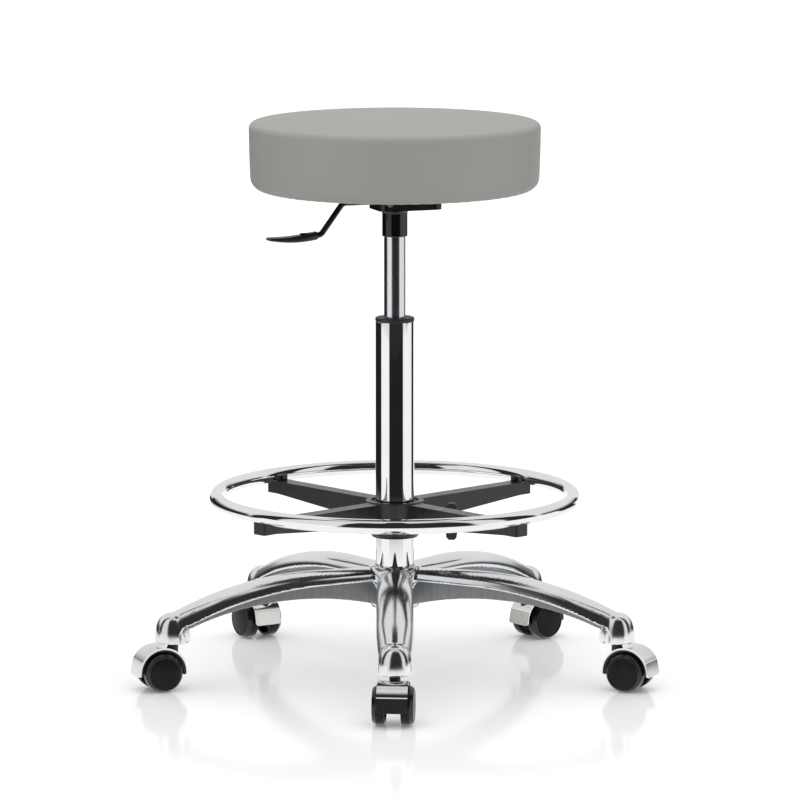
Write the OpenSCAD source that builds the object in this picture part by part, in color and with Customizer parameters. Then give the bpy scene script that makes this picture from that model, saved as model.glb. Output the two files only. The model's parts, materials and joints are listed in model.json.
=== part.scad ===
// Height-adjustable swivel stool for laboratories and clinics.
// A round padded seat stands on a gas lift, a footring clamps to the column, and a
// die-cast five-star base rolls on hooded twin-wheel casters.
// Millimetres. The origin is on the column's axis at floor level, +Z is up and -Y is the front.

/* [Casters] */
// Diameter of each wheel
wheel_d = 50; // [46:1:54]
// Width of each wheel's tread
tread_w = 12.4; // [10:0.2:14]
// Gap between the two treads
wheel_gap = 20.4; // [18:0.2:24]
// How far each wheel's face bulges beyond its tread
face_bulge = 4.8; // [2:0.2:6]
// Distance from the stem's axis back to the axle
trail = 18.6; // [16:0.2:22]
// Width of the metal hood
hood_w = 39; // [34:0.5:42]
// Thickness of the metal hood
hood_t = 2.2; // [1.2:0.1:3]
// Space between the wheel and the shell that carries the hood
hood_space = 2.5; // [2:0.1:4]
// Thickness of the shell under the hood
shell_t = 2.6; // [2:0.1:3.4]
// Diameter of the grip stem
stem_d = 11; // [10:0.1:12]
// Diameter of the neck round the stem
neck_d = 14; // [13.2:0.2:16]
// How far the neck stands above the hood
neck_rise = 3.4; // [2:0.1:6]
// Diameter of the axle
axle_d = 6; // [5:0.5:8]

/* [Base] */
// Radius of the circle on which the stems stand
stem_circle_r = 300; // [280:1:325]
// Radius of the rounded toe over each stem
toe_r = 23; // [21:0.5:26]
// Height of each toe
toe_h = 38; // [36:0.5:44]
// Rise of the leg from the toe to the hub
leg_rise = 44; // [36:1:54]
// Radius out to which the leg's back stays level
leg_flat_r = 103; // [85:1:130]
// Width of the leg where it leaves the hub
leg_root_w = 39; // [36:0.5:44]
// Width of the leg halfway
leg_mid_w = 48; // [44:0.5:54]
// Height of the leg's skirt at the hub
skirt_root_h = 14.5; // [12:0.5:18]
// Height of the leg's skirt at the toe
skirt_toe_h = 22; // [20:0.5:26]
// Wall of the leg's polished skin
skin_t = 3.5; // [3:0.1:4.5]
// Thickness of the webs and cross ribs under each leg
web_t = 4.2; // [3:0.1:6]
// Distance over the two webs of a leg
web_span = 29; // [24:0.5:31]
// Depth of the webs below the leg's back at their highest
web_depth = 34; // [28:0.5:40]
// Diameter of the hub
hub_d = 63; // [60:1:70]
// Height of the hub
hub_h = 55; // [48:1:64]
// How far the hub stands above the legs
hub_lip = 2.4; // [1:0.1:4]

/* [Column] */
// Diameter of the column tube
column_d = 50; // [48:1:52]
// Wall of the column tube
column_wall = 2; // [1.5:0.1:2.6]
// Height of the column's mouth above the hub's top
column_h = 324; // [280:1:380]
// How far the column's foot stands below the hub
column_foot = 8; // [6:0.5:16]
// Narrowing of the column's radius inside the hub
taper_drop = 0.7; // [0.4:0.1:1]
// Length of the guide bush
bush_l = 80; // [60:1:100]
// Height of the bush's flange over the tube
bush_flange_h = 5; // [3:0.5:8]

/* [Gas lift] */
// Diameter of the gas cylinder
cylinder_d = 28; // [26:0.5:30]
// Wall of the gas cylinder
cylinder_wall = 1.6; // [1.2:0.1:2.2]
// Length of the gas cylinder
cylinder_l = 400; // [385:1:410]
// Length of cylinder in view between the column and the socket
lift_show = 105; // [98:1:120]
// Diameter of the piston rod
rod_d = 10; // [8:0.5:12]
// Height of the piston above the foot of the gas cylinder
piston_z = 233; // [205:1:255]
// Diameter of the release pin
pin_d = 6; // [5:0.5:7]

/* [Mechanism] */
// Length of the socket below the pan
socket_l = 35; // [30:1:44]
// Wall of the socket at its mouth
socket_wall = 2.4; // [2:0.1:3.4]
// Depth of the pressed pan
pan_h = 23.1; // [22:0.1:30]
// Length of the pan on the lever's side of the axis
pan_front = 28; // [26:0.5:32]
// Length of the pan on the far side of the axis
pan_back = 57; // [44:1:64]
// Width of the pan
pan_w = 56; // [50:1:66]
// Thickness of the pan's steel
pan_t = 2.5; // [2:0.1:3]
// Side of the square plate under the seat
plate_w = 150; // [140:1:190]
// Thickness of the plate
plate_t = 3; // [2:0.1:4]
// Distance between the plate's bolts
bolt_span = 122; // [110:1:126]
// Direction of the lever, as an angle from +X
lever_turn = 200; // [180:1:225]

/* [Lever] */
// Diameter of the lever's rod
lever_d = 7.5; // [6:0.5:8]
// Distance of the lever's pivot from the axis
pivot_x = 17; // [15:0.5:18]
// Radius at which the lever bends down
bend_x = 71; // [64:1:78]
// Radius at which the lever reaches the paddle
grip_x = 101; // [96:1:108]
// Drop of the lever from the pivot to the paddle
lever_drop = 40; // [34:1:46]
// Length of the paddle
paddle_l = 72; // [60:1:84]
// Width of the paddle
paddle_w = 26; // [22:1:32]
// Thickness of the paddle at its root
paddle_t = 10.5; // [10:0.5:13]

/* [Seat] */
// Diameter of the cushion
seat_d = 375; // [350:1:400]
// Height of the cushion's side
seat_h = 87; // [75:1:100]
// Rise of the cushion's crown over its rim
crown = 6; // [2:0.5:14]
// Radius of the cushion's top edge
rim_r = 9; // [6:0.5:14]
// Radius of the cushion's bottom edge
roll_r = 12; // [10:0.5:16]
// How far the cushion's side draws in towards the bottom
draw_in = 1.6; // [0:0.2:5]
// Thickness of the vinyl cover
cover_t = 1.2; // [0.8:0.1:2]
// Thickness of the plywood board
board_t = 12; // [10:1:15]
// How far the cover is turned in under the board
cover_lap = 24; // [18:1:34]
// Thickness of the lining under the board
lining_t = 0.8; // [0.4:0.1:1]

/* [Footring] */
// Diameter of the ring at the middle of its tube
ring_d = 461; // [440:1:480]
// Diameter of the ring's tube
ring_tube_d = 19; // [16:0.5:22]
// Wall of the ring's tube
ring_wall = 1.5; // [1.2:0.1:2]
// Height of the ring above the floor
ring_z = 235; // [215:1:300]
// How deep the ring sits in its saddles
saddle_sink = 3.5; // [2:0.5:5]
// Width of each arm of the carrier
arm_w = 22; // [18:0.5:26]
// Height of each arm at the ring
arm_tip_h = 16.5; // [14:0.5:20]
// Height of each arm at the carrier's hub
arm_root_h = 31; // [26:0.5:36]
// Wall of the carrier's mouldings
arm_wall = 3.5; // [2.5:0.1:4.5]
// Diameter of the carrier's hub at the top
carrier_top_d = 76; // [74:1:84]
// Diameter of the carrier's hub at the bottom
carrier_foot_d = 66; // [66:1:74]
// Height of the carrier's hub
carrier_h = 44.5; // [40:0.5:52]
// Wall of the nylon liner
liner_t = 2.4; // [2:0.1:3]
// Turn of the footring about the column
ring_turn = -2; // [-10:1:10]
// Distance over the wings of the clamp knob
knob_span = 47.6; // [40:0.2:52]
// Width of the clamp knob at its middle
knob_w = 19; // [16:0.5:22]
// Reach of the clamp knob's root from the axis
knob_x = 64; // [60:1:70]
// Diameter of the clamp stud
stud_d = 8; // [6:0.5:8]

/* [Fits] */
// Radial clearance of a running or sliding fit
run_fit = 0.1; // [0.05:0.01:0.1]
// Radial clearance of a pressed or wedged fit
press_fit = 0.05; // [0.02:0.01:0.08]
// Gap between pieces that rest close to each other
rest_gap = 0.3; // [0.2:0.05:0.4]

/* [Hidden] */
$fn = 72;
leg_count = 5;
leg_step = 360 / leg_count;
front = -90;
// Direction in which each caster trails, from +X, starting at the front leg
trail_turns = [-95, -25, 38, 122, 201];

// One overrun serves every cut
cut = 2;

// Caster
wheel_r = wheel_d / 2;
axle_z = wheel_r;
shell_in_r = wheel_r + hood_space;
shell_out_r = shell_in_r + shell_t;
hood_out_r = shell_out_r + hood_t;
hood_front_angle = -8;
hood_back_angle = 180 - hood_front_angle;
hood_groove_angle = 27;
hood_groove_w = 1.4;
hood_groove_t = 0.7;
hood_corner_r = 4;
caster_web_t = 8;
caster_web_angle = 35;
axle_boss_r = axle_d / 2 + web_t;
tread_in = wheel_gap / 2;
tread_out = tread_in + tread_w;
face_out = tread_out + face_bulge;
wheel_edge_r = 1.6;
face_ring_share = 0.93;
face_disc_share = 0.78;
face_step = 0.6;
wheel_cup_t = 7;
wheel_hub_r = axle_d / 2 + web_t;
wheel_rim_t = 3.4;
axle_half = face_out - wheel_rim_t;
neck_top_z = axle_z + hood_out_r + neck_rise;
stem_foot_z = axle_z + axle_boss_r;
stem_socket_h = toe_h - skin_t;
stem_top_z = neck_top_z + stem_socket_h;
grip_w = 2;
grip_t = 0.9;
grip_z = stem_top_z - 3 * grip_w;

// Base
toe_foot_z = neck_top_z + rest_gap;
toe_top_z = toe_foot_z + toe_h;
leg_top_z = toe_top_z + leg_rise;
blend_inset = 0.4;
leg_fall = leg_rise + blend_inset;
leg_run = stem_circle_r - leg_flat_r;
leg_arc_r = (leg_run * leg_run + leg_fall * leg_fall) / (2 * leg_fall);
hub_r = hub_d / 2;
hub_top_z = leg_top_z + hub_lip;
hub_foot_z = hub_top_z - hub_h;
leg_start_r = column_d / 2 - skin_t;
leg_mid_r = (leg_start_r + stem_circle_r) / 2 + skin_t;
swell_start_r = stem_circle_r - 2 * toe_r - leg_root_w / 2;
arch_inset = 5;
arch_r = toe_r - arch_inset;
arch_start_r = stem_circle_r - arch_r;
section_power = 2.6;
section_steps = 12;
web_start_r = column_d / 2;
web_end_r = stem_circle_r - toe_r / 2;
web_peak_share = 0.43;
web_arc_share = 4 / 3;
web_peak_r = stem_circle_r * web_peak_share;
web_arc_r = stem_circle_r * web_arc_share;
rib_recess = 4;
rib_shares = [0.3, 0.47, 0.64, 0.8];
shoulder_w = 6;
shoulder_r = hub_r + shoulder_w;
leg_root_r = shoulder_r + skin_t;
hub_round_r = 2.5;

// Column and gas lift
column_r = column_d / 2;
column_in_r = column_r - column_wall;
column_foot_z = hub_foot_z - column_foot;
column_top_z = hub_top_z + column_h;
tube_top_z = column_top_z - bush_flange_h;
foot_plate_t = 4;
foot_plate_z = column_foot_z + foot_plate_t;
cylinder_r = cylinder_d / 2;
cylinder_in_r = cylinder_r - cylinder_wall;
washer_t = 1.5;
ball_d = 4;
ball_count = 12;
washer_space = 3;
washer_r = column_in_r - washer_space;
race_r = 14;
washer_low_z = foot_plate_z;
ball_z = washer_low_z + washer_t;
washer_high_z = ball_z + ball_d + 2 * press_fit;
shoulder_z = washer_high_z + washer_t;
bumper_h = 20;
bumper_r = 17;
rod_r = rod_d / 2;
rod_neck_step = 1;
rod_neck_r = rod_r - rod_neck_step;
rod_neck_tail = 4.2;
clip_t = 1.5;
clip_groove = 0.6;
clip_r = rod_d * 4 / 5;
socket_foot_z = column_top_z + lift_show;
pan_foot_z = socket_foot_z + socket_l;
pan_floor_z = pan_foot_z + pan_t;
cylinder_top_z = pan_floor_z - press_fit * 10;
cylinder_foot_z = cylinder_top_z - cylinder_l;
head_taper = 0.7;
head_taper_start = 2;
head_taper_z = socket_foot_z + head_taper_start;
head_wall = 3;
guide_h = 18;
seal_h = 6;
block_h = 25;
piston_h = 18;
piston_low_z = cylinder_foot_z + piston_z;
piston_groove = 1.2;
pin_r = pin_d / 2;

// Mechanism and lever
socket_r = cylinder_r + socket_wall;
socket_flare_r = 6;
socket_edge = 1.4;
pan_corner_r = 11;
pan_flange = 10;
plate_z = pan_foot_z + pan_h;
plate_corner_r = 14;
lever_r = lever_d / 2;
lever_rise = 4.3;
lever_z = pan_floor_z + lever_r + lever_rise;
pin_top_z = lever_z - lever_r - rest_gap;
lever_inner_x = -5;
eye_r = 6.5;
eye_w = 11;
pivot_d = 5;
pivot_head_r = 4.5;
pivot_head_t = 2;
grip_z_lever = lever_z - lever_drop;
bend_r = 9;
lever_slot_rise = 3;
paddle_tip_t = 4;
paddle_fall = 4;
paddle_dip = 2.2;
paddle_belly = 3;

// Seat
board_z = plate_z + plate_t + lining_t;
seat_z = board_z - cover_t;
seat_r = seat_d / 2;
board_r = seat_r - draw_in - roll_r - rest_gap;
cover_opening_r = board_r - cover_lap;
lining_r = cover_opening_r - rest_gap;
bolt_d = 6;
bolt_head_r = 6.5;
bolt_head_h = 4;
nut_barrel_r = 4.2;
nut_barrel_h = 9;
nut_flange_r = 9.5;
nut_flange_t = 1.5;

// Footring
tube_r = ring_tube_d / 2;
ring_r = ring_d / 2;
arm_top_z = ring_z - tube_r + saddle_sink;
arm_overhang = 6.5;
arm_tip_r = ring_r + arm_overhang;
carrier_foot_z = arm_top_z - carrier_h + rest_gap;
liner_in_r = column_r + run_fit;
liner_out_r = liner_in_r + liner_t;
liner_flange_r = liner_out_r + liner_t;
liner_flange_t = 1.5;
liner_slot_w = 3;
recess_space = 1;
recess_r = liner_flange_r + recess_space;
recess_depth = 2;
carrier_rim = 1.5;
carrier_edge = 2;
arm_corner_r = 4;
arm_count = 4;
arm_first = 45;
lug_l = 9;
lug_w = 15;
lug_rise = 1.5;
screw_d = 4;
screw_head_r = 3.8;
screw_head_h = 2.4;
screw_drop = 1;
screw_z = ring_z - screw_drop;
stud_r = stud_d / 2;
clamp_z = carrier_foot_z + carrier_h * 2 / 5;
clamp_boss_r = 10;
clamp_boss_x = 47;
pad_r = 6;
pad_t = 4;
pad_x = liner_out_r + rest_gap;
pad_travel = 2.5;
pad_bore_x = pad_x + pad_t + pad_travel + rest_gap;
knob_sleeve_l = 12;
knob_sleeve_x = knob_x - knob_sleeve_l;
knob_sleeve_r = 9;
knob_wing_t = 12;
knob_end_share = 0.7;
knob_round_r = 3;

// Points of an arc in a plane, from angle a to angle b
function arc(x, z, r, a, b, steps) =
    [for (i = [0 : steps]) let (t = a + (b - a) * i / steps) [x + r * cos(t), z + r * sin(t)]];

// Solid of revolution about the Z axis from a half outline
module turned(points) {
    rotate_extrude() polygon(points);
}

// Ring or tube about the Z axis
module ring(outer_r, inner_r, z, h) {
    translate([0, 0, z]) difference() {
        cylinder(r = outer_r, h = h);
        translate([0, 0, -cut]) cylinder(r = inner_r, h = h + 2 * cut);
    }
}

// Plate in the X-Z plane, centred on Y
module standing(width) {
    translate([0, width / 2, 0]) rotate([90, 0, 0]) linear_extrude(width) children();
}

// Rounded rectangle from x0 to x1, centred on Y
module rounded(x0, x1, w, r) {
    for (x = [x0 + r, x1 - r], y = [r - w / 2, w / 2 - r]) translate([x, y]) circle(r = r);
    translate([x0 + r, -w / 2]) square([x1 - x0 - 2 * r, w]);
    translate([x0, r - w / 2]) square([x1 - x0, w - 2 * r]);
}

// Height of the leg's back at radius r
function leg_back(r) = r <= leg_flat_r ? leg_top_z
    : leg_top_z - leg_arc_r + sqrt(leg_arc_r * leg_arc_r - (r - leg_flat_r) * (r - leg_flat_r));

// Half width of the leg at radius r
function leg_half(r) = r < leg_mid_r
    ? (leg_mid_w - (leg_mid_w - leg_root_w) * pow((leg_mid_r - r) / (leg_mid_r - leg_start_r), 2)) / 2
    : leg_mid_w / 2 - (leg_mid_w / 2 - toe_r + blend_inset)
        * pow((r - leg_mid_r) / (stem_circle_r - leg_mid_r), 2);

// Height of the skirt at radius r, before the toe swells
function skirt_h(r) = skirt_root_h
    + (skirt_toe_h - skirt_root_h) * (r - leg_start_r) / (arch_start_r - leg_start_r);

// Height of the whole arched section at radius r, which grows to the toe's height
function section_h(r) = r < swell_start_r ? skirt_h(r)
    : skirt_h(r) + (leg_back(stem_circle_r) - toe_foot_z - skirt_h(r))
        * pow((r - swell_start_r) / (stem_circle_r - swell_start_r), 2);

// Height of the skin's lower edge at radius r, with the arch that clears the toe
function skin_edge(r) = r <= arch_start_r ? leg_back(r) - skirt_h(r)
    : toe_foot_z + blend_inset
        + (leg_back(arch_start_r) - skirt_h(arch_start_r) - toe_foot_z - blend_inset)
            * sqrt(max(0, 1 - pow((r - arch_start_r) / arch_r, 2)));

// Arched half-tube section at radius r, inset from the outer skin, from one edge to the other
function arch_section(r, inset) =
    let (a = leg_half(r) - inset, h = section_h(r) - inset, low = leg_back(r) - section_h(r),
         first = asin(pow(max(0, (skin_edge(r) - low) / h), section_power / 2)))
    [for (i = [0 : section_steps])
        let (t = first + (180 - 2 * first) * i / section_steps)
        [r, sign(cos(t)) * a * pow(abs(cos(t)), 2 / section_power),
            low + h * pow(sin(t), 2 / section_power)]];

// Radii of the leg's sections, closer together over the toe's arch
leg_radii = concat(
    [leg_start_r],
    [for (i = [0 : 8]) leg_root_r + (arch_start_r - leg_root_r) * i / 8],
    [for (t = [25, 45, 65, 80, 90]) arch_start_r + arch_r * sin(t)]);

// Open skin of one leg along +X: arched sections outside and inside, joined into one shell
module leg_skin() {
    loops = [for (r = leg_radii) concat(arch_section(r, 0),
        [for (i = [section_steps : -1 : 0]) arch_section(r, skin_t)[i]])];
    size = 2 * (section_steps + 1);
    last = len(leg_radii) - 1;
    points = [for (l = loops, p = l) p];
    sides = [for (s = [0 : last - 1], k = [0 : size - 1], half = [0, 1])
        let (a = s * size + k, b = s * size + (k + 1) % size, c = b + size, d = a + size)
        half == 0 ? [a, c, b] : [a, d, c]];
    caps = [for (i = [0 : section_steps - 1], half = [0, 1])
        let (a = i, b = i + 1, c = size - 2 - i, d = size - 1 - i)
        half == 0 ? [a, b, c] : [a, c, d]];
    far_caps = [for (f = caps) [f[0] + last * size, f[2] + last * size, f[1] + last * size]];
    polyhedron(points, concat(sides, caps, far_caps), 10);
}

// Height of the middle of the skin at radius r and distance y from the leg's middle
function skin_middle(r, y) = leg_back(r) - section_h(r) + (section_h(r) - skin_t / 2)
    * pow(1 - pow(y / (leg_half(r) - skin_t / 2), section_power), 1 / section_power);

// Side outline of the webs under a leg, up to the skin at distance y, with a recess below
module web_outline(y, recess) {
    steps = 20;
    radii = [for (i = [0 : steps]) web_start_r + (web_end_r - web_start_r) * i / steps];
    top = [for (r = radii) [r, skin_middle(r, y)]];
    low = [for (i = [steps : -1 : 0]) let (r = radii[i])
        [r, leg_top_z - web_depth + recess - web_arc_r
            + sqrt(web_arc_r * web_arc_r - (r - web_peak_r) * (r - web_peak_r))]];
    polygon(concat(top, low));
}

// Rounded toe over a stem, full below for the stem's socket
module toe() {
    steps = 14;
    dome = [for (i = [0 : steps]) let (t = 90 * i / steps)
        [toe_r * pow(cos(t), 2 / section_power), toe_foot_z + toe_h * pow(sin(t), 2 / section_power)]];
    translate([stem_circle_r, 0, 0]) turned(concat([[0, toe_foot_z]], dome, [[0, toe_top_z]]));
}

module leg() {
    leg_skin();
    toe();
    web_y = (web_span - web_t) / 2;
    for (side = [-1, 1]) translate([0, side * web_y, 0]) standing(web_t) web_outline(web_y, 0);
    for (share = rib_shares) intersection() {
        standing(2 * web_y) web_outline(web_y / 2, rib_recess);
        translate([stem_circle_r * share, -web_span / 2, 0]) cube([web_t, web_span, leg_top_z]);
    }
}

// Half outline of the hub, with the rounded lip and the shoulder between the legs
module hub() {
    turned(concat(
        [[0, hub_foot_z], [hub_r, hub_foot_z], [hub_r, leg_top_z - 2 * skirt_root_h]],
        [[shoulder_r, leg_top_z - skirt_root_h], [shoulder_r, leg_top_z - skirt_root_h / 2]],
        arc(hub_r - hub_round_r, hub_top_z - hub_round_r, hub_round_r, 0, 90, 6),
        [[0, hub_top_z]]));
}

module base_casting() {
    color("silver") difference() {
        union() {
            hub();
            for (i = [0 : leg_count - 1]) rotate(front + leg_step * i) leg();
        }
        turned([[0, hub_foot_z - cut], [column_r - taper_drop + press_fit, hub_foot_z - cut],
            [column_r - taper_drop + press_fit, hub_foot_z], [column_r + press_fit, hub_top_z],
            [column_r + press_fit, hub_top_z + cut], [0, hub_top_z + cut]]);
        for (i = [0 : leg_count - 1]) rotate(front + leg_step * i)
            translate([stem_circle_r, 0, toe_foot_z - cut])
                cylinder(d = stem_d + 2 * run_fit, h = stem_socket_h + cut);
    }
}

// Grip stems in the toes, each with a spring ring near its top
module caster_stems() {
    color("dimgray") for (i = [0 : leg_count - 1]) rotate(front + leg_step * i)
        translate([stem_circle_r, 0, 0]) {
            difference() {
                translate([0, 0, stem_foot_z]) cylinder(d = stem_d, h = stem_top_z - stem_foot_z);
                ring(stem_d, stem_d / 2 - grip_t, grip_z, grip_w);
            }
            ring(stem_d / 2 + press_fit, stem_d / 2 - grip_t + press_fit, grip_z + press_fit,
                grip_w - 2 * press_fit);
        }
}

module column_tube() {
    color("gainsboro") difference() {
        turned([[0, column_foot_z], [column_r - taper_drop, column_foot_z],
            [column_r - taper_drop, hub_foot_z], [column_r, hub_top_z], [column_r, tube_top_z],
            [0, tube_top_z]]);
        translate([0, 0, foot_plate_z]) cylinder(r = column_in_r - taper_drop, h = column_h + hub_h);
        translate([0, 0, hub_top_z]) cylinder(r = column_in_r, h = column_h);
        translate([0, 0, column_foot_z - cut])
            cylinder(r = rod_neck_r + rest_gap, h = foot_plate_t + 2 * cut);
    }
}

module guide_bush() {
    edge = bush_flange_h / 5;
    color([0.1, 0.1, 0.1]) difference() {
        turned([[0, tube_top_z - bush_l], [column_in_r - press_fit, tube_top_z - bush_l],
            [column_in_r - press_fit, tube_top_z], [column_r + rest_gap, tube_top_z],
            [column_r + rest_gap, column_top_z - edge], [column_r - edge, column_top_z],
            [0, column_top_z]]);
        translate([0, 0, tube_top_z - bush_l - cut])
            cylinder(r = cylinder_r + run_fit, h = bush_l + bush_flange_h + 2 * cut);
    }
}

module bearing_washer_lower() {
    color("silver") ring(washer_r, rod_neck_r + rest_gap, washer_low_z, washer_t);
}

// Balls of the thrust bearing in their flat cage
module bearing_cage() {
    cage_t = ball_d / 2;
    color("silver") for (i = [0 : ball_count - 1]) rotate(360 * i / ball_count)
        translate([race_r, 0, ball_z + press_fit + ball_d / 2]) sphere(d = ball_d);
    color("goldenrod") difference() {
        ring(race_r + ball_d, race_r - ball_d, ball_z + (ball_d - cage_t) / 2, cage_t);
        for (i = [0 : ball_count - 1]) rotate(360 * i / ball_count)
            translate([race_r, 0, ball_z]) cylinder(d = ball_d + 2 * run_fit, h = ball_d);
    }
}

module bearing_washer_upper() {
    color("silver") ring(washer_r, rod_neck_r + press_fit, washer_high_z, washer_t);
}

module rubber_bumper() {
    color([0.15, 0.15, 0.15]) ring(bumper_r, rod_r + press_fit, shoulder_z, bumper_h);
}

module piston_rod() {
    clip_z = column_foot_z - rest_gap - clip_t;
    color("silver") difference() {
        union() {
            translate([0, 0, shoulder_z]) cylinder(r = rod_r, h = piston_low_z - shoulder_z);
            translate([0, 0, column_foot_z - rod_neck_tail])
                cylinder(r = rod_neck_r, h = shoulder_z - column_foot_z + rod_neck_tail);
        }
        ring(rod_r, rod_neck_r - clip_groove, clip_z, clip_t);
    }
}

module rod_clip() {
    color("dimgray") ring(clip_r, rod_neck_r - clip_groove + press_fit,
        column_foot_z - rest_gap - clip_t + press_fit, clip_t - 2 * press_fit);
}

// Piston with the groove of its sealing band
module piston() {
    color("gold") difference() {
        translate([0, 0, piston_low_z]) cylinder(r = cylinder_in_r - run_fit, h = piston_h);
        ring(cylinder_r, cylinder_in_r - run_fit - piston_groove,
            piston_low_z + piston_h / 3, piston_h / 3);
    }
}

// Pressure tube with its tapered and closed head
module gas_cylinder() {
    color("gainsboro") difference() {
        turned([[0, cylinder_foot_z], [cylinder_r, cylinder_foot_z], [cylinder_r, head_taper_z],
            [cylinder_r - head_taper, cylinder_top_z], [0, cylinder_top_z]]);
        translate([0, 0, cylinder_foot_z - cut])
            cylinder(r = cylinder_in_r, h = cylinder_l - head_wall + cut);
        translate([0, 0, cylinder_foot_z]) cylinder(r = pin_r + run_fit, h = cylinder_l + cut);
    }
}

module rod_guide() {
    color("gold") ring(cylinder_in_r - press_fit, rod_r + run_fit, cylinder_foot_z, guide_h);
}

module rod_seal() {
    color([0.15, 0.15, 0.15])
        ring(cylinder_in_r - press_fit, rod_r + run_fit, cylinder_foot_z + guide_h, seal_h);
}

module valve_block() {
    color("gold")
        ring(cylinder_in_r - press_fit, pin_r + run_fit, cylinder_top_z - head_wall - block_h, block_h);
}

module release_pin() {
    foot = cylinder_top_z - head_wall - block_h / 2;
    color("silver") translate([0, 0, foot]) cylinder(r = pin_r, h = pin_top_z - foot);
}

// Socket with a taper bore, a chamfered mouth and a flare that is welded to the pan
module lift_socket() {
    top = pan_floor_z;
    color([0.08, 0.08, 0.08]) difference() {
        turned(concat(
            [[0, socket_foot_z], [socket_r - socket_edge, socket_foot_z],
             [socket_r, socket_foot_z + socket_edge]],
            arc(socket_r + socket_flare_r, pan_foot_z - socket_flare_r, socket_flare_r, 180, 90, 6),
            [[cylinder_r + socket_wall / 2, pan_foot_z], [cylinder_r + socket_wall / 2, top], [0, top]]));
        turned([[0, socket_foot_z - cut], [cylinder_r + press_fit, socket_foot_z - cut],
            [cylinder_r + press_fit, head_taper_z],
            [cylinder_r - head_taper + press_fit, cylinder_top_z],
            [cylinder_r - head_taper + press_fit, top + cut], [0, top + cut]]);
    }
}

// Puts a piece of the mechanism in the lever's direction
module at_lever() {
    rotate(lever_turn) children();
}

// Pressed hat section with the socket's hole, the lever's slot and the pivot holes
module mechanism_pan() {
    color([0.08, 0.08, 0.08]) at_lever() difference() {
        union() {
            translate([0, 0, pan_foot_z]) linear_extrude(pan_h)
                rounded(-pan_back, pan_front, pan_w, pan_corner_r);
            translate([0, 0, plate_z - pan_t]) linear_extrude(pan_t)
                rounded(-pan_back - pan_flange, pan_front + pan_flange, pan_w + 2 * pan_flange,
                    pan_corner_r + pan_flange);
        }
        translate([0, 0, pan_floor_z]) linear_extrude(pan_h)
            rounded(pan_t - pan_back, pan_front - pan_t, pan_w - 2 * pan_t, pan_corner_r - pan_t);
        translate([0, 0, pan_foot_z - cut])
            cylinder(r = cylinder_r + socket_wall / 2 + press_fit, h = pan_t + 2 * cut);
        translate([pan_front - pan_corner_r, -lever_r - rest_gap, lever_z - lever_r - rest_gap])
            cube([pan_flange + pan_corner_r - cut, lever_d + 2 * rest_gap,
                lever_d + rest_gap + lever_slot_rise]);
        translate([pivot_x, pan_w, lever_z]) rotate([90, 0, 0])
            cylinder(d = pivot_d + 2 * press_fit, h = 2 * pan_w);
    }
}

module mount_plate() {
    color([0.08, 0.08, 0.08]) at_lever() difference() {
        translate([0, 0, plate_z]) linear_extrude(plate_t)
            rounded(-plate_w / 2, plate_w / 2, plate_w, plate_corner_r);
        at_bolts() translate([0, 0, plate_z - cut])
            cylinder(d = bolt_d + 2 * rest_gap, h = plate_t + 2 * cut);
    }
}

module at_bolts() {
    for (x = [-bolt_span / 2, bolt_span / 2], y = [-bolt_span / 2, bolt_span / 2])
        translate([x, y, 0]) children();
}

module lever_pivot_pin() {
    half = pan_w / 2;
    color("silver") at_lever() translate([pivot_x, half, lever_z]) rotate([90, 0, 0]) {
        translate([0, 0, -pivot_head_t]) cylinder(d = pivot_d, h = 2 * half + 2 * pivot_head_t);
        translate([0, 0, -pivot_head_t]) cylinder(r = pivot_head_r, h = pivot_head_t);
    }
}

// Length of rod from one point to another in the lever's plane
module rod_run(a, b, r) {
    length = norm(b - a);
    lean = atan2(b[0] - a[0], b[1] - a[1]);
    translate([a[0], 0, a[1]]) rotate([0, lean, 0]) cylinder(r = r, h = length);
}

// Quarter-like bend of the rod about a centre, from one angle to another
module rod_bend(centre, a, b) {
    translate([centre[0], 0, centre[1]]) rotate([90, 0, 0]) rotate(a)
        rotate_extrude(angle = b - a) translate([bend_r, 0]) circle(r = lever_r);
}

// Bent rod with a swaged eye at the pivot
module lever_rod() {
    slope = atan2(lever_drop, grip_x - bend_x);
    tangent = bend_r * tan(slope / 2);
    down = [cos(slope), -sin(slope)];
    top = [bend_x, lever_z];
    low = [grip_x, grip_z_lever];
    color([0.08, 0.08, 0.08]) at_lever() difference() {
        union() {
            rod_run([lever_inner_x, lever_z], top - [tangent, 0], lever_r);
            rod_bend(top - [tangent, bend_r], 90, 90 - slope);
            rod_run(top + tangent * down, low - tangent * down, lever_r);
            rod_bend(low + [tangent, bend_r], 270 - slope, 270);
            rod_run(low + [tangent, 0], low + [tangent + paddle_l / 3, 0], lever_r);
            translate([pivot_x, eye_w / 2, lever_z]) rotate([90, 0, 0]) cylinder(r = eye_r, h = eye_w);
        }
        translate([pivot_x, pan_w, lever_z]) rotate([90, 0, 0])
            cylinder(d = pivot_d + 2 * run_fit, h = 2 * pan_w);
    }
}

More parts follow.
